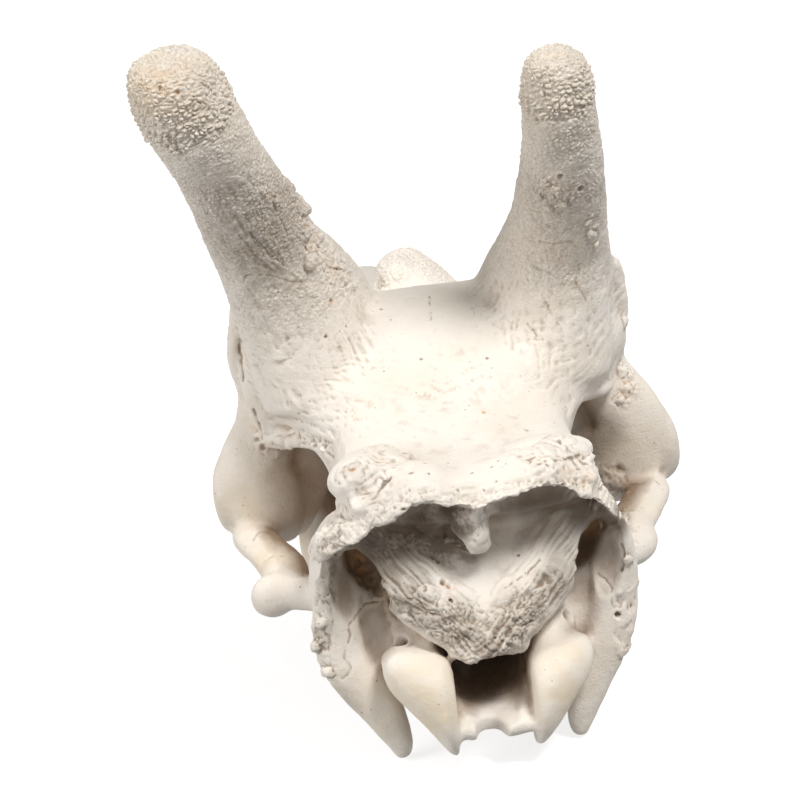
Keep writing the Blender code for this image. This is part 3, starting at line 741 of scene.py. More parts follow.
CREST_LIP = (
    (314, 547), (331, 543), (346, 537), (360, 535), (379, 524), (398, 513), (419, 503), (436, 503),
    (449, 507), (457, 517), (470, 512), (478, 514), (489, 509), (499, 501), (512, 494), (527, 493),
    (546, 489), (563, 491), (579, 493), (594, 495), (609, 500), (624, 509),
)
LUMPY = (  # pixels along a patch's middle, its reach, the lumps' height and their size in mm
    (((296, 200), (308, 228), (318, 252), (342, 280)), 14.0, 2.3, 4.6),
    (((270, 190), (290, 235)), 17.0, 0.8, 2.6),
    (((385, 268), (405, 257), (425, 262), (445, 274)), 18.0, 1.3, 3.0),
    (((545, 185), (558, 200)), 12.0, 1.2, 3.4), (((592, 218), (593, 236)), 7.0, 1.2, 3.0),
    (((322, 600), (320, 640), (330, 680)), 6.0, 1.2, 4.4),
    (((625, 368), (628, 385), (622, 402)), 7.0, 1.5, 3.2), (((330, 290), (350, 275)), 8.0, 0.8, 3.0),
)
CRAGGY = (  # the same for patches of rough, broken bone
    (CREST_LIP, 10.0, 2.3, 7.5), (CREST_LIP, 6.0, 0.8, 3.6),
    (((259, 439), (275, 449), (286, 444), (310, 440), (331, 452)), 6.0, 1.9, 5.0),
    (((545, 474), (575, 472), (608, 478)), 14.0, 2.7, 6.5), (((540, 448), (580, 446)), 14.0, 1.7, 8.0),
    (((340, 492), (372, 474), (398, 452)), 17.0, 1.5, 6.5), (((472, 512), (482, 545)), 9.0, 1.6, 6.0),
    (((435, 520), (425, 540), (450, 548)), 11.0, 1.5, 5.0), (((360, 545), (400, 530)), 14.0, 1.0, 6.0),
    (((455, 622), (490, 640), (520, 622), (488, 655)), 17.0, 2.3, 5.6),
    (((425, 610), (450, 635)), 12.0, 1.7, 5.2), (((545, 590), (530, 610)), 13.0, 1.8, 5.0),
    (((375, 580), (400, 605)), 11.0, 1.5, 5.0),
    (((322, 570), (320, 610), (320, 640), (330, 690)), 8.0, 1.6, 5.0),
    (((630, 530), (630, 600), (626, 650)), 8.0, 1.6, 5.0),
    (((345, 510), (420, 492), (480, 497), (540, 482), (600, 490)), 14.0, 0.40, 5.5),
    (((330, 520), (345, 520)), 12.0, 0.9, 6.0),
)
LEFT_HORN = [station[:3] for station in OSSICONE_LEFT[:7]] + [(-122.5, -250, 349)]
RIGHT_HORN = [station[:3] for station in OSSICONE_RIGHT[:7]] + [(60, -250, 333)]
LEFT_KNOB, RIGHT_KNOB = 40.0, 34.0  # how far each granular knob reaches down, in mm
HORN_REACH = 46.0  # how far out from its axis a horn is carved, in mm
FIBROUS = (  # a line in mm, its reach, the ridges' height, spacing and length
    (((-56, -300, 122), (-50, -304, 112), (-40, -310, 99), (-27, -316, 86), (-13, -323, 74), (-4, -328, 66)),
     24.0, 0.70, 2.2, 24.0),
    (((58, -300, 122), (51, -304, 112), (40, -310, 99), (27, -316, 86), (13, -323, 75), (4, -328, 66)),
     24.0, 0.85, 2.3, 24.0),
    (((-64, -200, 178), (-77, -212, 222), (-89, -232, 258)), 42.0, 0.40, 3.0, 34.0),
    (((-92, -185, 172), (-74, -192, 158), (-52, -200, 146)), 34.0, 0.26, 2.2, 18.0),
    (((92, -185, 172), (74, -192, 158), (52, -200, 146)), 34.0, 0.22, 2.2, 18.0),
    (((-40, -215, 152), (0, -235, 148), (44, -215, 152)), 40.0, 0.24, 2.4, 16.0),
    (((-80, -185, 140), (-60, -215, 140), (-48, -245, 138)), 30.0, 0.28, 2.6, 16.0),
    (((62, -200, 180), (64, -212, 212), (65, -232, 241)), 42.0, 0.32, 3.2, 30.0),
)
AMBER = (  # pixel x and y, reach in mm and strength of the orange that shows in the hollows there
    (160, 82, 26, 0.9), (185, 110, 20, 0.4), (332, 302, 4, 1.0), (352, 470, 5, 1.0), (484, 412, 4, 1.0),
    (592, 472, 9, 0.9), (567, 467, 8, 0.7), (383, 458, 6, 0.7), (312, 236, 14, 0.9), (332, 268, 10, 1.0),
    (355, 560, 12, 0.9), (592, 524, 10, 0.9), (308, 548, 20, 1.0), (558, 186, 12, 0.7), (432, 560, 5, 0.7),
    (448, 590, 7, 0.8), (250, 425, 9, 0.6), (626, 386, 10, 0.5), (560, 250, 14, 0.4), (331, 515, 5, 0.8),
    (540, 60, 18, 0.4),
)
DIRT_AND_SHADE = (  # pixel x and y, reach in mm and strength of the grey grime there, partly painted shade
    (352, 568, 18, 0.9), (373, 584, 18, 1.0), (396, 600, 17, 1.0), (420, 612, 17, 1.0), (453, 628, 16, 1.0),
    (489, 645, 15, 1.0), (515, 627, 16, 1.0), (533, 613, 17, 1.0), (555, 584, 17, 1.0), (568, 560, 16, 0.8),
    (330, 552, 14, 0.8), (345, 700, 12, 0.6), (322, 640, 12, 0.6), (410, 585, 15, 0.9), (355, 475, 13, 0.5),
    (325, 595, 12, 0.5), (372, 500, 10, 0.5),
)
SHADE = (  # pixel x and y, reach in mm and strength of the painted shade on what faces down there
    (350, 556, 18, 0.8), (373, 548, 19, 0.9), (395, 538, 20, 0.9), (420, 526, 20, 1.0), (445, 534, 19, 1.0),
    (468, 551, 11, 0.9), (504, 514, 14, 0.7), (530, 508, 16, 0.8), (555, 504, 18, 0.9), (580, 508, 18, 1.0),
    (600, 516, 17, 1.0), (616, 521, 14, 1.0), (322, 565, 14, 0.8), (585, 545, 20, 0.6), (450, 520, 14, 0.8),
    (385, 560, 14, 0.6), (600, 430, 18, 0.6), (592, 446, 14, 0.6), (448, 512, 9, 1.0), (460, 528, 9, 1.0),
)
STAINS_AND_SHADE = {"amber": AMBER, "grime_and_shade": DIRT_AND_SHADE, "shade": SHADE}


# Carving


def undulate(skin):
    """The unevenness that all of the bone has."""
    everything = np.arange(len(skin.at))
    broad = 0.60 * rugged(skin.at, 30.0, 11) + 0.26 * rugged(skin.at, 10.0, 17, 2)
    skin.lift(everything, broad + 0.10 * rugged(skin.at, 3.6, 23, 2))


def follow(skin, line, parts, reach):
    """The vertices within reach of a smooth line, and the line's length.

    For each vertex: its number, its gap to the line, its place along it, the line's direction there and the
    way from the line to the vertex.
    """
    dense = np.array([catmull(line, k / parts) for k in range(parts * (len(line) - 1) + 1)])
    rows, gaps, nearest = skin.near(dense, reach)
    steps = np.linalg.norm(np.diff(dense, axis=0), axis=1)
    along = np.concatenate([[0], np.cumsum(steps)])
    axis = np.gradient(dense, axis=0)
    axis /= np.linalg.norm(axis, axis=1)[:, None]
    return rows, gaps, along[nearest], axis[nearest], skin.at[rows] - dense[nearest], along[-1]


def carve_horn(skin, path, knob, seed):
    """A granular knob with a ragged lower edge, and a shaft of fine roughness and long faint furrows."""
    rows, _, along, axis, off, length = follow(skin, path, 12, HORN_REACH)
    side = np.cross(axis, (0, 1, 0))
    turn = np.arctan2((off * np.cross(axis, side)).sum(1), (off * side).sum(1))
    at = skin.at[rows]
    edge = length - knob + 6 * hills(at, 15.0, seed) + 3 * hills(at, 6.0, seed + 1)
    on_knob = ease(edge - 2.0, edge + 3.0, along)
    above_base = ease(35.0, 60.0, along + 8 * hills(at, 14.0, seed + 2))
    pulled = at * np.array((0.70, 1.0, 1.10)) + 1.5 * bent(at, 5.0, seed + 20)
    coarse = ease(length - 8.0, edge + 6.0, along)
    grains = (1.5 + 0.8 * coarse) * granules(pulled, 2.6, seed + 3) + 0.5 * granules(pulled, 1.7, seed + 4)
    grains += 0.7 * coarse * granules(pulled, 4.2, seed + 40) + 0.9 * hills(at, 9.0, seed + 8) - 1.2
    furrows = 1 - 2 * np.abs(hills(np.stack([turn * 9, along / 26, 0 * turn], axis=1), 1.0, seed + 5))
    pebbles = granules(at + 0.8 * bent(at, 4.0, seed + 30), 2.3, seed + 9) - 0.4
    fine = 0.40 * rugged(at, 3.6, seed + 6, 2) + 0.24 * furrows * ease(130, 60, along)
    fine += 0.40 * hills(at, 7.0, seed + 7)
    fine += 0.65 * pebbles * ease(-0.6, 0.3, hills(at, 16.0, seed + 11)) * ease(60, 95, along)
    skin.lift(rows, on_knob * grains + (1 - on_knob) * above_base * fine)


def nodular(skin, places, reach, height, seed, size):
    """A patch of lumps in three sizes, which fades towards its edge."""
    rows, gaps, _ = skin.near(places, reach)
    at = skin.at[rows]
    within = ease(reach, reach * 0.55, gaps + 0.25 * reach * hills(at, 7.0, seed))
    pulled = at + 0.22 * size * bent(at, size, seed + 20)
    lumps = 0.7 * granules(pulled, size, seed) + 0.42 * granules(pulled, size * 0.5, seed + 7)
    skin.lift(rows, height * within * (lumps + 0.35 * hills(at, size * 1.8, seed + 9) - 0.2))


def craggy(skin, places, reach, height, seed, size):
    """A patch of rough, broken bone: lumps on lumps, small steps between them, and a few pores."""
    rows, gaps, _ = skin.near(places, reach)
    at = skin.at[rows]
    within = ease(reach, reach * 0.5, gaps + 0.3 * reach * hills(at, 7.0, seed))
    pulled = at + 0.3 * size * bent(at, size * 1.5, seed + 20)
    lumps = 0.95 * rugged(pulled, size * 1.5, seed, 4) + 0.16 * granules(pulled, size * 0.6, seed + 5)
    broken = hills(pulled, size * 1.7, seed + 15) + 0.3 * hills(pulled, size * 0.6, seed + 16)
    steps = ease(-0.12, 0.12, broken) + ease(0.30, 0.44, broken) - 1.0
    first, _, mark = cells(pulled, size * 1.1, seed + 9)
    pores = ease(0.20, 0.08, first) * (mark > 0.82)
    skin.lift(rows, height * within * (lumps + 0.50 * steps - 0.7 * pores))


def fibres(skin, line, reach, height, seed, spacing, length):
    """Rough ridges that run along a line."""
    rows, gaps, along, axis, off, _ = follow(skin, line, 16, reach)
    at = skin.at[rows]
    across = (off * np.cross(axis, (0.0, -1.0, 0.0))).sum(1)
    across = across + 1.4 * hills(at, 9.0, seed + 31)
    run = np.stack([across / spacing, along / length, off[:, 1] / 7.0], axis=1)
    finer = hills(run * np.array((2.1, 2.0, 2.0)), 1.0, seed + 1)
    ridges = 1 - 2 * np.abs(hills(run, 1.0, seed)) + 0.5 * finer
    within = ease(reach, reach * 0.5, gaps) * ease(-0.9, 0.1, hills(at, 12.0, seed + 5))
    skin.lift(rows, height * within * ridges)


def pit(skin, place, radius, depth):
    """A round hole with a faint rim."""
    rows, gaps, _ = skin.near(place, radius * 2.0)
    rim = 0.12 * np.exp(-((gaps / radius - 1.35) / 0.3) ** 2)
    skin.lift(rows, depth * (rim - ease(1.25, 0.45, gaps / radius)))


def nodule(skin, place, radius, height):
    """A rounded lump with an uneven outline."""
    rows, gaps, _ = skin.near(place, radius * 1.5)
    wobble = 1 + 0.42 * hills(skin.at[rows], radius * 0.9, 5)
    skin.lift(rows, height * np.sqrt(np.clip(1 - (gaps * wobble / radius) ** 2, 0, 1)))


def groove(skin, line, half_width, depth):
    """A furrow of uneven depth along a line."""
    rows, gaps, _ = skin.near(line, half_width * 2)
    uneven = 0.75 + 0.5 * hills(skin.at[rows], 5.0, 29)
    skin.lift(rows, -depth * uneven * ease(half_width * 1.7, 0.0, gaps))


def ridge(skin, line, half_width, height):
    """A raised line of uneven height."""
    rows, gaps, _ = skin.near(line, half_width * 2.5)
    uneven = 0.75 + 0.5 * hills(skin.at[rows], 4.0, 3)
    skin.lift(rows, height * np.exp(-((gaps / half_width) ** 2)) * uneven)


def refine(bone, spots):
    """Splits the faces near some places, so that they can hold finer forms. A spot is places and a reach."""
    skin = Skin(bone)
    rows = np.unique(np.concatenate([skin.near(places, reach)[0] for places, reach in spots]))
    bm = bmesh.new()
    bm.from_mesh(bone.data)
    bm.verts.ensure_lookup_table()
    chosen = {bm.verts[row] for row in rows.tolist()}
    edges = {edge for vert in chosen for edge in vert.link_edges if edge.other_vert(vert) in chosen}
    bmesh.ops.subdivide_edges(bm, edges=list(edges), cuts=1, use_grid_fill=True)
    bmesh.ops.triangulate(bm, faces=[face for face in bm.faces if len(face.verts) > 4])
    bm.to_mesh(bone.data)
    bm.free()
    bone.data.update()


def landed(bone, marks):
    """Marks that start with a pixel's x and y, with the place on the skin instead of them."""
    found = [(landing(bone, mark[:2]), *mark[2:]) for mark in marks]
    return [(np.array(place), *rest) for place, *rest in found if place is not None]


def carve(bone):
    """All the forms of the skin, from large to small. Gives back the places of cracks and of stains and
    painted shade.
    """
    spots = landed(bone, PITS)
    knots = landed(bone, NODULES)
    cracks = [(trail(bone, line, 0.8, 0.5, k), w, d) for k, (line, w, d) in enumerate(CRACKS)]
    sutures = [(trail(bone, line, 0.7, wander, k), w, d) for k, (line, w, d, wander) in enumerate(SUTURES)]
    ridges = [(trail(bone, line, 1.0, 0.6, k), w, h) for k, (line, w, h) in enumerate(RIDGES)]
    stains_and_shade = {kind: landed(bone, marks) for kind, marks in STAINS_AND_SHADE.items()}
    lumpy = [(trail(bone, line, 3.0), *rest) for line, *rest in LUMPY]
    broken = [(trail(bone, line, 3.0), *rest) for line, *rest in CRAGGY]
    fine_patches = lumpy[:3] + broken[:1] + broken[7:10]
    knobs = [(LEFT_HORN[4:], 33.0), (RIGHT_HORN[4:], 28.0)]
    refine(bone, knobs + [(line, reach + 1) for line, reach, _, _ in fine_patches])
    skin = Skin(bone)
    undulate(skin)
    for place, radius, height in knots:
        nodule(skin, place, radius, height)
    for line, half_width, height in ridges:
        ridge(skin, line, half_width, height)
    skin.settle()
    carve_horn(skin, LEFT_HORN, LEFT_KNOB, 41)
    carve_horn(skin, RIGHT_HORN, RIGHT_KNOB, 61)
    for k, (line, reach, height, spacing, length) in enumerate(FIBROUS):
        fibres(skin, line, reach, height, 157 + 6 * k, spacing, length)
    for k, (line, reach, height, size) in enumerate(lumpy):
        nodular(skin, line, reach, height, 200 + 10 * k, size)
    for k, (line, reach, height, size) in enumerate(broken):
        craggy(skin, line, reach, height, 600 + 10 * k, size)
    skin.settle()
    for line, half_width, depth in cracks + sutures:
        groove(skin, line, half_width, depth)
    for place, radius, depth in spots:
        pit(skin, place, radius, depth)
    skin.settle()
    return [(line, half_width) for line, half_width, _ in cracks + sutures], stains_and_shade


# From the carved bone to the shown pieces


def thin_out(target, triangles):
    """Fewer triangles, most of them where the form bends."""
    target.data.calc_loop_triangles()
    fewer = target.modifiers.new("fewer", "DECIMATE")
    fewer.ratio = min(1.0, triangles / len(target.data.loop_triangles))
    fewer.use_collapse_triangulate = True
    return bake(target)


def fit(skin, low, high, border=40.0, slack=0.25):
    """Draws in what stands out of the model's box, smoothly over the last stretch before each side."""
    for axis in range(3):
        for sign, wall in ((-1, low[axis]), (1, high[axis])):
            reach = (skin.at[:, axis] * sign).max()
            over = reach - (wall * sign - slack)
            if over > 0 and not (axis == 2 and sign < 0):
                near = ease(reach - border, reach, skin.at[:, axis] * sign)
                skin.at[:, axis] -= sign * over * near


def neighbours_mean(values, edges, count):
    """Each vertex's mean of its neighbours' values."""
    total = np.zeros_like(values)
    for column in range(values.shape[1]):
        for a, b in ((0, 1), (1, 0)):
            total[:, column] += np.bincount(edges[:, a], values[edges[:, b], column], len(values))
    return total / np.maximum(count, 1)[:, None]


def hollowness(skin, edges, count, rounds):
    """How far each vertex lies below its surroundings, in mm. More rounds look further round."""
    mean = skin.at.copy()
    for _ in range(rounds):
        mean = 0.4 * mean + 0.6 * neighbours_mean(mean, edges, count)
    return ((mean - skin.at) * skin.out).sum(axis=1)


SHELTER_RAYS = 40
SHELTER_REACH = 90.0  # how far a ray looks for bone, in mm
SHELTER_ROUNDS = 12  # how often the coarse result is spread to its neighbours
SMALL_ROUNDS, LARGE_ROUNDS = 4, 60  # how far round hollows are looked for


def occlusion_shade(skin, shift):
    """How much of the open air the bone hides from each vertex, from 0 to 1, by the model's solid. The bone's
    colour takes painted shade from it.
    """
    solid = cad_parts["cranium"]
    count = len(solid.data.vertices)
    golden = math.pi * (3 - math.sqrt(5))
    rays = []
    for k in range(SHELTER_RAYS):
        height = math.sqrt((k + 0.5) / SHELTER_RAYS)
        flat = math.sqrt(1 - height * height)
        rays.append(Vector((flat * math.cos(golden * k), flat * math.sin(golden * k), height)))
    tree = kdtree.KDTree(count)
    hidden = np.zeros(count)
    for vert in solid.data.vertices:
        tree.insert(vert.co, vert.index)
        turn = vert.normal.to_track_quat("Z", "Y")
        start = vert.co + vert.normal * MM
        hits = sum(solid.ray_cast(start, turn @ ray, distance=SHELTER_REACH * MM)[0] for ray in rays)
        hidden[vert.index] = hits / SHELTER_RAYS
    tree.balance()
    places = (skin.at + np.array(shift)) * MM
    return hidden[np.fromiter((tree.find(place)[1] for place in places), int, len(places))]


# Places with a look of their own, or where painted shade is added or lifted: middle, reach and strength
CREAM = (
    ((-35, -330, 42), 30, 1.0), ((35, -330, 42), 30, 1.0), ((-99, -168, 100), 34, 0.5),
    ((101, -168, 100), 34, 0.5), ((-62, -300, 30), 34, 0.4), ((62, -300, 30), 34, 0.4),
    ((-96, -210, 72), 26, 0.7), ((98, -210, 72), 26, 0.5), ((-122, -250, 340), 60, 0.45),
    ((61, -250, 320), 50, 0.35), ((-66, -120, 45), 26, 1.0), ((66, -120, 45), 26, 1.0),
)
# grey-brown grime, partly painted shade on the rear of the horn shafts, under the crest and on the V's bands
GRIME_AND_SHADE = (
    ((-46, -306, 96), 26, 1.0), ((46, -306, 96), 24, 0.8), ((-84, -224, 256), 44, 0.8),
    ((66, -220, 256), 40, 0.5), ((-98, -244, 284), 28, 0.6), ((64, -248, 284), 24, 0.4),
    ((-62, -312, 92), 22, 0.9), ((62, -312, 92), 22, 0.8), ((-33, -318, 126), 30, 0.9),
    ((33, -318, 126), 28, 0.7), ((-16, -322, 76), 20, 1.0), ((16, -322, 76), 20, 0.9),
    ((0, -322, 66), 18, 0.9), ((-58, -310, 118), 20, 0.9), ((-78, -205, 225), 26, 0.4),
)
SMOOTH = (((-34, -326, 40), 34, 0.9), ((34, -326, 40), 34, 0.9), ((0, -318, 34), 20, 0.7))
SHADE_LIFTED = (((0, -334, 24), 20, 0.8), ((0, -318, 26), 14, 0.5))  # where the painted shade of shelter is lifted, though the bone is sheltered


PLAIN_GRAIN = 0.40  # how sandy the bone is away from the horns and the smooth places


def graininess(skin):
    """How sandy the bone is: most on the horns, least on the condyles."""
    grain = np.full(len(skin.at), PLAIN_GRAIN)
    for path in (LEFT_HORN, RIGHT_HORN):
        rows, gaps, _ = skin.near(np.array(path[1:]), 60.0)
        near_horn = ease(60, 35, gaps) * ease(170, 215, skin.at[rows, 2])
        grain[rows] = np.maximum(grain[rows], PLAIN_GRAIN + (1 - PLAIN_GRAIN) * near_horn)
    return grain * (1 - patches(skin.at, SMOOTH))


def patches(at, places):
    """The strongest of the round patches at each place."""
    value = np.zeros(len(at))
    for middle, reach, strength in places:
        gap = np.linalg.norm(at - np.array(middle), axis=1)
        value = np.maximum(value, strength * ease(reach, reach * 0.25, gap))
    return value


def tell(mesh, name, values):
    """Gives the vertices a number that the material reads."""
    layer = mesh.attributes.new(name, "FLOAT", "POINT")
    layer.data.foreach_set("value", np.asarray(values, np.float32))


def describe(bone, cracks, stains_and_shade, shift):
    """Writes the numbers that the bone's colours follow."""
    skin = Skin(bone)
    mesh = bone.data
    edges = np.empty(len(mesh.edges) * 2, np.int32)
    mesh.edges.foreach_get("vertices", edges)
    edges = edges.reshape(-1, 2)
    count = np.bincount(edges.ravel(), minlength=len(skin.at)).astype(float)
    tell(mesh, "hollow", hollowness(skin, edges, count, SMALL_ROUNDS))
    tell(mesh, "sunk", hollowness(skin, edges, count, LARGE_ROUNDS))
    # painted shade: how much of the open air the bone hides, lifted in a few places
    hidden = occlusion_shade(skin, shift)[:, None]
    for _ in range(SHELTER_ROUNDS):
        hidden = neighbours_mean(hidden, edges, count)
    tell(mesh, "occlusion_shade", hidden[:, 0] * (1 - patches(skin.at, SHADE_LIFTED)))
    tell(mesh, "cream", patches(skin.at, CREAM))
    tell(mesh, "grime_and_shade", np.maximum(patches(skin.at, GRIME_AND_SHADE), patches(skin.at, stains_and_shade["grime_and_shade"])))
    tell(mesh, "amber", patches(skin.at, stains_and_shade["amber"]))
    # painted shade, kept to what faces down
    tell(mesh, "shade", patches(skin.at, stains_and_shade["shade"]) * ease(0.80, 0.45, skin.out[:, 2]))
    tell(mesh, "grain", graininess(skin))
    crack = np.zeros(len(skin.at))
    for places, reach in cracks:
        rows, gaps, _ = skin.near(places, reach * 1.5)
        crack[rows] = np.maximum(crack[rows], ease(reach * 1.5, reach * 0.3, gaps))
    tell(mesh, "crack", crack)
    layer = mesh.attributes.new("skin_normal", "FLOAT_VECTOR", "POINT")
    layer.data.foreach_set("vector", skin.out.astype(np.float32).ravel())


# Where the bone is divided: a plane's point and normal, in mm, and the side of x that it is kept to
CUTS = {
    "horn_left": ((-74, -182, 216), (-0.29, -0.50, 0.82), -1),
    "horn_right": ((64, -180, 206), (0.06, -0.60, 0.80), 1),
    "face": ((0, -45, 0), (0, 1, 0), 0),
    "occiput": ((0, -262, 0), (0, -1, 0), 0),
}
HORNS = ("horn_left", "horn_right")
NEAR_PLANE = 0.02  # a vertex this near a plane, in mm, counts as on it
SAME_PLANE = 1e-6  # the same for the ends of an edge on a rim, in metres
MIDLINE_GAP = 20.0  # how far from the midline a horn's cut starts, in mm
ALL_LAYERS = ("hollow", "sunk", "occlusion_shade", "cream", "grime_and_shade", "amber", "shade", "grain", "crack")


def beyond(places, cut):
    """Which places lie beyond a cut, and how far from its plane each is."""
    point, normal, side = CUTS[cut]
    normal = np.array(normal) / np.linalg.norm(normal)
    away = (places - np.array(point)) @ normal
    return away, (places[:, 0] * side > MIDLINE_GAP) if side else np.ones(len(places), bool)


def corners_of(mesh):
    """The numbers of each triangle's three vertices."""
    corners = np.empty(len(mesh.loops), np.int32)
    mesh.loops.foreach_get("vertex_index", corners)
    return corners.reshape(-1, 3)


def piece_of(places):
    """The piece that each face belongs to, by the face's middle. The horns' cuts come before the others."""
    names = np.full(len(places), "vault", dtype=object)
    for cut in reversed(CUTS):
        away, inside = beyond(places, cut)
        names[inside & (away > 0)] = cut
    return names


def score(bone):
    """Adds edges where the cuts' planes pass, so that the pieces will share their rims exactly."""
    bm = bmesh.new()
    bm.from_mesh(bone.data)
    bm.faces.ensure_lookup_table()
    at = Skin(bone).at
    corners = corners_of(bone.data)
    on_horn = np.isin(piece_of(at[corners].mean(1)), HORNS)
    work = []
    taken = np.zeros(len(corners), bool)
    for cut in CUTS:
        away, inside = beyond(at, cut)
        across = (away[corners].min(1) <= NEAR_PLANE) & (away[corners].max(1) >= -NEAR_PLANE)
        across &= inside[corners].all(1) & ~taken
        if cut not in HORNS:
            across &= ~on_horn
        taken |= across
        work.append((cut, [bm.faces[i] for i in np.flatnonzero(across)]))
    for cut, faces in work:
        point, normal, _ = CUTS[cut]
        edges = {edge for face in faces for edge in face.edges}
        verts = {vert for face in faces for vert in face.verts}
        bmesh.ops.bisect_plane(bm, geom=[*faces, *edges, *verts], dist=1e-8, plane_co=Vector(point) * MM,
                               plane_no=Vector(normal).normalized())
    bmesh.ops.triangulate(bm, faces=[face for face in bm.faces if len(face.verts) > 3])
    bm.to_mesh(bone.data)
    bm.free()


def close_rims(mesh):
    """Fills the openings whose rims lie in one cut's plane."""
    bm = bmesh.new()
    bm.from_mesh(mesh)
    rim = [edge for edge in bm.edges if edge.is_boundary]
    for point, normal, _ in CUTS.values():
        point, normal = Vector(point) * MM, Vector(normal).normalized()
        loops = [e for e in rim if all(abs((v.co - point).dot(normal)) < SAME_PLANE for v in e.verts)]
        if loops:
            bmesh.ops.triangle_fill(bm, edges=loops, use_beauty=False, normal=normal)
    bmesh.ops.recalc_face_normals(bm, faces=bm.faces)
    bm.to_mesh(mesh)
    bm.free()


def divide(bone):
    """The bone as pieces that meet at shared rims and shade as one."""
    score(bone)
    whole = bone.data
    at = Skin(bone).at
    corners = corners_of(whole)
    names = piece_of(at[corners].mean(1))
    layers = {}
    for name in ALL_LAYERS:
        values = np.empty(len(at), np.float32)
        whole.attributes[name].data.foreach_get("value", values)
        layers[name] = values
    normals = np.empty(len(at) * 3, np.float32)
    whole.attributes["skin_normal"].data.foreach_get("vector", normals)
    normals = normals.reshape(-1, 3)
    pieces = []
    for name in ("vault", *CUTS):
        chosen = corners[names == name]
        used, local = np.unique(chosen, return_inverse=True)
        mesh = bpy.data.meshes.new(name)
        mesh.from_pydata(at[used] * MM, [], local.reshape(-1, 3))
        for key, values in layers.items():
            tell(mesh, key, values[used])
        close_rims(mesh)
        mesh.shade_smooth()
        outside = len(chosen) * 3  # corners of the faces that are skin
        owners = corners_of(mesh).ravel()
        loop_normals = np.zeros((len(owners), 3), np.float32)
        loop_normals[:outside] = normals[used][owners[:outside]]
        mesh.normals_split_custom_set([tuple(n) for n in loop_normals.tolist()])
        pieces.append(shown(name, mesh))
    bpy.data.objects.remove(bone, do_unlink=True)
    return pieces


# Cheek teeth: the place of each one's middle (x outwards, y), its length along the row and width across it

TEETH = {
    "premolar_2": (43.0, 49.5, 20.0, 21.0),
    "premolar_3": (45.0, 27.7, 22.0, 24.0),
    "premolar_4": (47.5, 5.2, 22.0, 26.0),
    "molar_1": (49.5, -19.6, 26.5, 28.0),
    "molar_2": (50.5, -48.6, 30.5, 29.0),
    "molar_3": (50.0, -79.7, 30.5, 28.0),
}
CROWN_FOOT = 32.0  # the root's end, above the grinding face at z = 0
BELT = 8.0  # the height at which a tooth is widest
FACE_SIZE, FOOT_SIZE = 0.94, 0.86  # its size at the grinding face and at the root's end, as a share
SOCKET_MOUTH = -20.0  # how far below the grinding faces a socket's cutter starts
# Outlines as parts of the tooth's length (forwards) and width (outwards), once round
MOLAR_OUTLINE = (
    (-0.5, 0.40), (-0.25, 0.34), (0.0, 0.5), (0.25, 0.34), (0.5, 0.40), (0.5, -0.10), (0.40, -0.40),
    (0.24, -0.5), (0.08, -0.40), (0.0, -0.24), (-0.08, -0.40), (-0.24, -0.5), (-0.40, -0.40), (-0.5, -0.10),
)
PREMOLAR_OUTLINE = (
    (-0.5, 0.34), (-0.30, 0.5), (0.0, 0.40), (0.30, 0.5), (0.5, 0.34), (0.5, -0.06), (0.36, -0.38),
    (0.0, -0.5), (-0.36, -0.38), (-0.5, -0.06),
)


def socket(group, name, s):
    """A tooth's socket: the plain tooth, larger by the seat's gap, and open below."""
    x, y, length, width = TEETH[name]
    outline = MOLAR_OUTLINE if name.startswith("molar") else PREMOLAR_OUTLINE
    levels = ((SOCKET_MOUTH, FACE_SIZE), (BELT, 1.0), (CROWN_FOOT + SEAT_GAP, FOOT_SIZE))
    bm = bmesh.new()
    rings = []
    for z, size in levels:
        ring = []
        for u, v in outline:
            px = x + v * (width * size + 2 * SEAT_GAP)
            py = y + u * (length * size + 2 * SEAT_GAP)
            ring.append(bm.verts.new(Vector((s * px, py, z)) * MM))
        rings.append(ring)
    n = len(outline)
    for below, above in zip(rings, rings[1:]):
        for j in range(n):
            bm.faces.new((below[j], below[(j + 1) % n], above[(j + 1) % n], above[j]))
    bm.faces.new(rings[0])
    bm.faces.new(rings[-1])
    return mesh_object("socket", bm, group)


# The shown teeth: rounded crowns with worn faces

ROUND = 96  # places round a tooth
TRIM = 0.97  # keeps the rounded outline inside the plain tooth's corners
WEAR_DEPTH = 1.1  # how far dentine lies behind the enamel's edges, in mm
FOLD_DEPTH = 3.0  # how deep the crescent folds are, in mm
FOLD_EDGE = 0.035  # how far from its middle a fold's own edge lies, in parts of the tooth
CROWN_LEVELS = (CROWN_FOOT, 26.0, 20.0, 14.0, 10.0, 7.0, 4.0, 2.0, 1.0, 0.4)  # heights of the crown's rings
WORN_RINGS = 34  # rings on the worn face
ENAMEL_SHARE = 0.055  # the enamel's thickness as a share of the tooth's width


def rounded_outline(name):
    """The tooth's outline as a smooth closed curve: rows of its parts across and along."""
    corners = MOLAR_OUTLINE if name.startswith("molar") else PREMOLAR_OUTLINE
    path = [(v, u, 0) for u, v in (corners[-1:] + corners + corners[:2])]
    turns = [1 + k * len(corners) / ROUND for k in range(ROUND)]
    return TRIM * np.array([list(catmull(path, t))[:2] for t in turns])


def swell(z):
    """The crown's size at a height, as a share of its full size."""
    return np.interp(z, (0, BELT, CROWN_FOOT), (FACE_SIZE, 1.0, FOOT_SIZE))


def crescent_gap(across, along, middle, half):
    """How far places on the worn face are from a crescent fold, in parts of the tooth."""
    step = np.clip(along - middle, -half, half)
    bend = -0.14 + 0.34 * (step / half) ** 2
    slope = np.sqrt(1 + (0.68 * step / half ** 2) ** 2)
    over = np.abs(along - middle) - half
    return np.hypot((across - bend) / slope, np.maximum(over, 0))


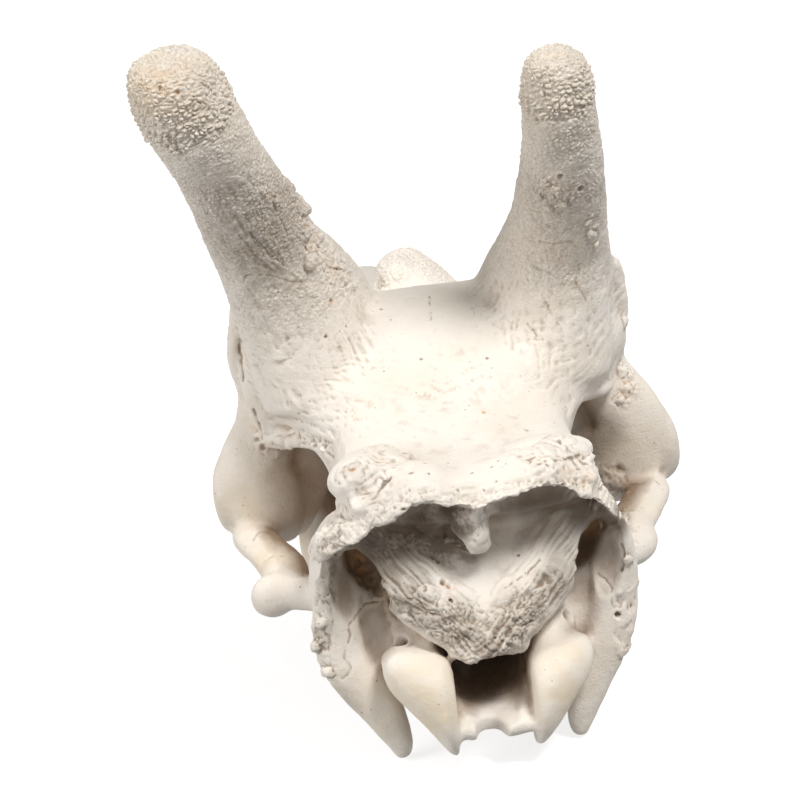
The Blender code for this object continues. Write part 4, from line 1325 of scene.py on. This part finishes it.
def crown(name, s):
    """One tooth: its side from the root down, and its worn face with enamel edges and folds."""
    base = name.rsplit("_", 1)[0]
    x, y, length, width = TEETH[base]
    outline = rounded_outline(base)
    parts = np.concatenate([[1.0, 0.985], np.linspace(0.96, 0.04, WORN_RINGS)])
    none = np.zeros(ROUND)
    rings = [np.column_stack([outline * swell(z), np.full(ROUND, z)]) for z in CROWN_LEVELS]
    kinds = [np.column_stack([none, none, np.full(ROUND, ease(5.0, 12.0, z))]) for z in CROWN_LEVELS]
    folds = ((-0.25, 0.15), (0.25, 0.15)) if base.startswith("molar") else ((0.0, 0.24),)
    for part in parts:
        flat = outline * part
        rim = ease(ENAMEL_SHARE, ENAMEL_SHARE * 2.2, (1 - part) * 0.5)
        gap = np.min([crescent_gap(flat[:, 0], flat[:, 1], *fold) for fold in folds], axis=0)
        fold = ease(FOLD_EDGE, 0.012, gap)
        enamel = ease(FOLD_EDGE + ENAMEL_SHARE * 1.6, FOLD_EDGE + ENAMEL_SHARE * 0.8, gap)
        dentine = rim * (1 - enamel)
        uneven = 0.25 * hills(np.column_stack([flat * width, none]), 5.0, 90)
        depth = dentine * (WEAR_DEPTH + uneven) + fold * FOLD_DEPTH
        rings.append(np.column_stack([flat * swell(0), depth]))
        kinds.append(np.column_stack([dentine, fold, none]))
    at = np.concatenate(rings) * np.array((width, length, 1.0))
    at += np.array((x, y, 0.0))
    at[:, 0] *= s
    last = len(rings) - 1
    middles = [at[:ROUND].mean(0), at[last * ROUND:].mean(0)]
    faces = []
    for k in range(last):
        for j in range(ROUND):
            a, b = k * ROUND + j, k * ROUND + (j + 1) % ROUND
            faces.append((a, b, b + ROUND, a + ROUND))
    for centre, ring in ((len(at), 0), (len(at) + 1, last)):
        faces += [(ring * ROUND + j, ring * ROUND + (j + 1) % ROUND, centre) for j in range(ROUND)]
    mesh = bpy.data.meshes.new(name + "_crown")
    mesh.from_pydata((np.vstack([at, middles]) * MM).tolist(), [], faces)
    numbers = np.vstack([np.concatenate(kinds), [(0, 0, 1), (1, 0, 0)]])
    for column, layer in enumerate(("dentine", "fold", "gum")):
        tell(mesh, layer, numbers[:, column])
    bm = bmesh.new()
    bm.from_mesh(mesh)
    bmesh.ops.recalc_face_normals(bm, faces=bm.faces)
    bm.to_mesh(mesh)
    bm.free()
    mesh.shade_smooth()
    return shown(name + "_crown", mesh)


# Materials


class Graph:
    """A material's nodes, made and linked by short calls."""

    def __init__(self, name):
        self.material = bpy.data.materials.new(name)
        self.material.use_nodes = True
        self.tree = self.material.node_tree
        self.shader = self.tree.nodes["Principled BSDF"]
        self.place = self.node("ShaderNodeTexCoord").outputs["Object"]

    def node(self, kind, inputs=None, **settings):
        made = self.tree.nodes.new(kind)
        for key, value in settings.items():
            setattr(made, key, value)
        for key, value in (inputs or {}).items():
            if isinstance(value, bpy.types.NodeSocket):
                self.tree.links.new(value, made.inputs[key])
            else:
                made.inputs[key].default_value = value
        return made

    def noise(self, size, detail=3.0, rough=0.55, warp=0.0):
        """Noise from 0 to 1 with features of about that size in mm."""
        return self.node("ShaderNodeTexNoise", {
            "Vector": self.place, "Scale": 1 / (size * MM), "Detail": detail, "Roughness": rough,
            "Distortion": warp,
        }).outputs["Fac"]

    def attribute(self, name):
        return self.node("ShaderNodeAttribute", attribute_name=name).outputs["Fac"]

    def span(self, value, low, high, to_low=0.0, to_high=1.0):
        """The value's stretch from low to high, brought to another stretch and kept within it."""
        return self.node("ShaderNodeMapRange", {
            "Value": value, "From Min": low, "From Max": high, "To Min": to_low, "To Max": to_high,
        }).outputs["Result"]

    def times(self, a, b):
        return self.node("ShaderNodeMath", {0: a, 1: b}, operation="MULTIPLY").outputs["Value"]

    def away_from(self, value, middle):
        """How far the value is from the middle, on either side."""
        off = self.node("ShaderNodeMath", {0: value, 1: middle}, operation="SUBTRACT").outputs["Value"]
        return self.node("ShaderNodeMath", {0: off}, operation="ABSOLUTE").outputs["Value"]

    def mix(self, amount, a, b):
        return self.node("ShaderNodeMix", {0: amount, 6: a, 7: b}, data_type="RGBA").outputs[2]

    def bump(self, height, strength, distance, below=None):
        inputs = {"Height": height, "Strength": strength, "Distance": distance * MM}
        if below is not None:
            inputs["Normal"] = below
        return self.node("ShaderNodeBump", inputs).outputs["Normal"]


IVORY = (0.860, 0.795, 0.715, 1)
WARM = (0.740, 0.650, 0.530, 1)
CREAMY = (0.780, 0.660, 0.490, 1)
BROWN = (0.270, 0.175, 0.105, 1)
TAN = (0.520, 0.385, 0.255, 1)
DARK = (0.075, 0.042, 0.022, 1)
ORANGE = (0.700, 0.400, 0.190, 1)
GREY = (0.215, 0.175, 0.135, 1)
SHADOW = (0.110, 0.072, 0.042, 1)
DUST_AND_SHADE = (0.320, 0.255, 0.185, 1)


def bone_material():
    """Dry bone: ivory, warmer in patches, brown in its pits and cracks, with grime that is partly painted
    shade, and painted shade where it is sheltered, in broad recesses and under the crest.
    """
    g = Graph("bone")
    hollow, sunk, hidden = g.attribute("hollow"), g.attribute("sunk"), g.attribute("occlusion_shade")
    amber, grain = g.attribute("amber"), g.attribute("grain")
    grit = g.noise(1.3, 4.0, 0.65)
    worms = g.away_from(g.noise(3.4, 4.0, 0.6, 1.3), 0.5)
    sandy = g.span(grain, 0.5, 0.95)
    bead = g.node("ShaderNodeTexVoronoi", {"Vector": g.place, "Scale": 1 / (1.9 * MM)}).outputs["Distance"]
    color = g.mix(g.span(g.noise(34.0, 4.0), 0.42, 0.72, 0.0, 0.45), IVORY, WARM)
    color = g.mix(g.times(g.attribute("cream"), g.span(g.noise(14.0), 0.25, 0.6)), color, CREAMY)
    # grime, partly painted shade: dusty patches, grey in their hollows
    grime_and_shade = g.times(g.attribute("grime_and_shade"), g.span(g.noise(7.0, 5.0), 0.25, 0.62, 0.20, 0.70))
    color = g.mix(grime_and_shade, color, DUST_AND_SHADE)
    color = g.mix(g.times(g.attribute("grime_and_shade"), g.span(hollow, -0.08, 0.12, 0.0, 0.80)), color, GREY)
    color = g.mix(g.times(grain, g.span(grit, 0.46, 0.30, 0.0, 0.28)), color, TAN)
    color = g.mix(g.times(grain, g.span(worms, 0.035, 0.0, 0.0, 0.22)), color, WARM)
    color = g.mix(g.times(sandy, g.span(bead, 0.45, 0.80, 0.0, 0.15)), color, DUST_AND_SHADE)
    # painted shade: brown where the bone hides much of the open air
    color = g.mix(g.span(hidden, 0.32, 0.74, 0.0, 0.92), color, BROWN)
    # painted shade: browner in broad recesses
    color = g.mix(g.span(sunk, 1.0, 5.0, 0.0, 0.45), color, BROWN)
    # painted shade under the crest and on what faces down near it
    color = g.mix(g.times(g.attribute("shade"), 0.88), color, SHADOW)
    stain = g.mix(amber, g.mix(sandy, BROWN, TAN), ORANGE)
    color = g.mix(g.times(amber, g.span(g.noise(3.5, 3.0), 0.40, 0.75, 0.0, 0.30)), color, ORANGE)
    color = g.mix(g.span(hollow, 0.03, 0.34, 0.0, 0.68), color, stain)
    color = g.mix(g.times(g.attribute("crack"), 0.60), color, BROWN)
    # near-black in the deepest small hollows: dirt in the pits and painted shade
    color = g.mix(g.span(hollow, 0.48, 1.10, 0.0, 0.90), color, DARK)
    pore = g.node("ShaderNodeTexVoronoi", {"Vector": g.place, "Scale": 1 / (5.0 * MM)}).outputs["Distance"]
    pore = g.times(g.span(pore, 0.12, 0.06), g.span(g.noise(20.0, 3.0), 0.46, 0.62, 0.0, 0.85))
    color = g.mix(pore, color, BROWN)
    g.tree.links.new(color, g.shader.inputs["Base Color"])
    rough = g.span(g.noise(6.0), 0.3, 0.7, 0.55, 0.75)
    g.tree.links.new(rough, g.shader.inputs["Roughness"])
    g.shader.inputs["Specular IOR Level"].default_value = 0.30
    pulled = g.node("ShaderNodeMapping", {"Vector": g.place, "Rotation": (0, 0, 0.4), "Scale": (0.22, 1, 1)})
    threads = g.node("ShaderNodeTexNoise", {
        "Vector": pulled.outputs["Vector"], "Scale": 1 / (1.7 * MM), "Detail": 3.0,
    }).outputs["Fac"]
    normal = g.bump(threads, 0.45, 0.35)
    normal = g.bump(g.times(grain, grit), 1.0, 0.9, normal)
    normal = g.bump(g.times(sandy, g.span(bead, 0.0, 0.7, 1.0, 0.0)), 0.8, 0.5, normal)
    normal = g.bump(g.times(grain, g.span(worms, 0.0, 0.07)), 0.6, 0.18, normal)
    normal = g.bump(g.noise(5.0, 3.0), 0.6, 0.5, normal)
    g.tree.links.new(normal, g.shader.inputs["Normal"])
    return g.material


ENAMEL = (0.760, 0.680, 0.540, 1)
DENTINE = (0.450, 0.300, 0.160, 1)


def tooth_material():
    """Worn enamel round darker dentine, brown in the folds and towards the root."""
    g = Graph("tooth")
    cream = g.mix(g.span(g.noise(7.0, 4.0), 0.38, 0.70, 0.0, 0.7), ENAMEL, CREAMY)
    color = g.mix(g.attribute("dentine"), cream, DENTINE)
    color = g.mix(g.times(g.attribute("gum"), g.span(g.noise(3.0, 4.0), 0.30, 0.60)), color, BROWN)
    color = g.mix(g.attribute("fold"), color, DARK)
    g.tree.links.new(color, g.shader.inputs["Base Color"])
    shine = g.span(g.attribute("dentine"), 0.0, 1.0, 0.32, 0.60)
    g.tree.links.new(shine, g.shader.inputs["Roughness"])
    g.tree.links.new(g.bump(g.noise(1.6, 4.0), 0.5, 0.2), g.shader.inputs["Normal"])
    return g.material


# Floor and light. Places are in metres, powers in watts

FLOOR_HALF = 6.0
FLOOR_TONE = (0.60, 0.60, 0.60, 1)
FLOOR_GLOW = 0.68  # keeps the floor as pale as in the photograph
AIM = (0, -0.1, 0.15)
LAMPS = {  # place, size and power
    "key": ((0.87, -1.45, 2.45), 0.8, 62.0),
    "fill": ((-1.9, -0.9, 0.9), 1.3, 24.0),
}
ROOM_LIGHT = 0.35


def add_floor():
    bm = bmesh.new()
    bmesh.ops.create_grid(bm, x_segments=1, y_segments=1, size=FLOOR_HALF)
    mesh = bpy.data.meshes.new("floor")
    bm.to_mesh(mesh)
    bm.free()
    floor = shown("floor", mesh)
    g = Graph("pale_floor")
    g.shader.inputs["Base Color"].default_value = FLOOR_TONE
    g.shader.inputs["Roughness"].default_value = 0.9
    g.shader.inputs["Emission Color"].default_value = (1, 1, 1, 1)
    g.shader.inputs["Emission Strength"].default_value = FLOOR_GLOW
    mesh.materials.append(g.material)
    floor.visible_diffuse = False


def add_light():
    for name, (place, size, power) in LAMPS.items():
        data = bpy.data.lights.new(name, "AREA")
        data.shape = "DISK"
        data.size = size
        data.energy = power
        lamp = shown(name, data)
        lamp.location = place
        lamp.rotation_euler = (Vector(AIM) - Vector(place)).to_track_quat("-Z", "Y").to_euler()
    world = bpy.data.worlds.new("studio")
    world.use_nodes = True
    world.node_tree.nodes["Background"].inputs["Color"].default_value = (1, 1, 1, 1)
    world.node_tree.nodes["Background"].inputs["Strength"].default_value = ROOM_LIGHT
    bpy.context.scene.world = world
    bpy.context.scene.view_settings.view_transform = "Standard"


# Putting it together

TEETH_NODES = [f"{name}_{side}" for side in ("left", "right") for name in TEETH]


def forms_shift():
    """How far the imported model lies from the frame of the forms, in mm, by the place of one tooth."""
    low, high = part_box("molar_2_right")
    x, y, _, _ = TEETH["molar_2"]
    middle = (low + high) / 2 / MM
    return Vector((middle.x - x, middle.y - y, 0))


def cut_sockets(bone, group):
    """Sinks the teeth's sockets into the bone and gives it triangles again."""
    sockets = [socket(group, name, s) for s in (-1, 1) for name in TEETH]
    carve_out(bone, join(group, "sockets", sockets))
    bone.modifiers.new("three corners", "TRIANGULATE")
    return bake(bone)


def main():
    group = collection("skull")
    shift = forms_shift()
    add_camera(shift)
    bone = grow_bone(group, GRID)
    cracks, stains_and_shade = carve(bone)
    thin_out(bone, BONE_TRIANGLES)
    cut_sockets(bone, group)
    skin = Skin(bone)
    low, high = (np.array(corner) / MM - np.array(shift) for corner in CAD_BOX)
    fit(skin, low, high)
    skin.settle()
    describe(bone, cracks, stains_and_shade, shift)
    bone_look = bone_material()
    for piece in divide(bone):
        piece.data.transform(Matrix.Translation(shift * MM))
        piece.data.materials.append(bone_look)
        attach(piece, "root")
        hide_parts("cranium")
    tooth_look = tooth_material()
    for name in TEETH_NODES:
        worn = crown(name, 1 if name.endswith("right") else -1)
        worn.data.transform(Matrix.Translation(shift * MM))
        worn.data.materials.append(tooth_look)
        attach(worn, "root")
        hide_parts(name)
    add_floor()
    add_light()


main()
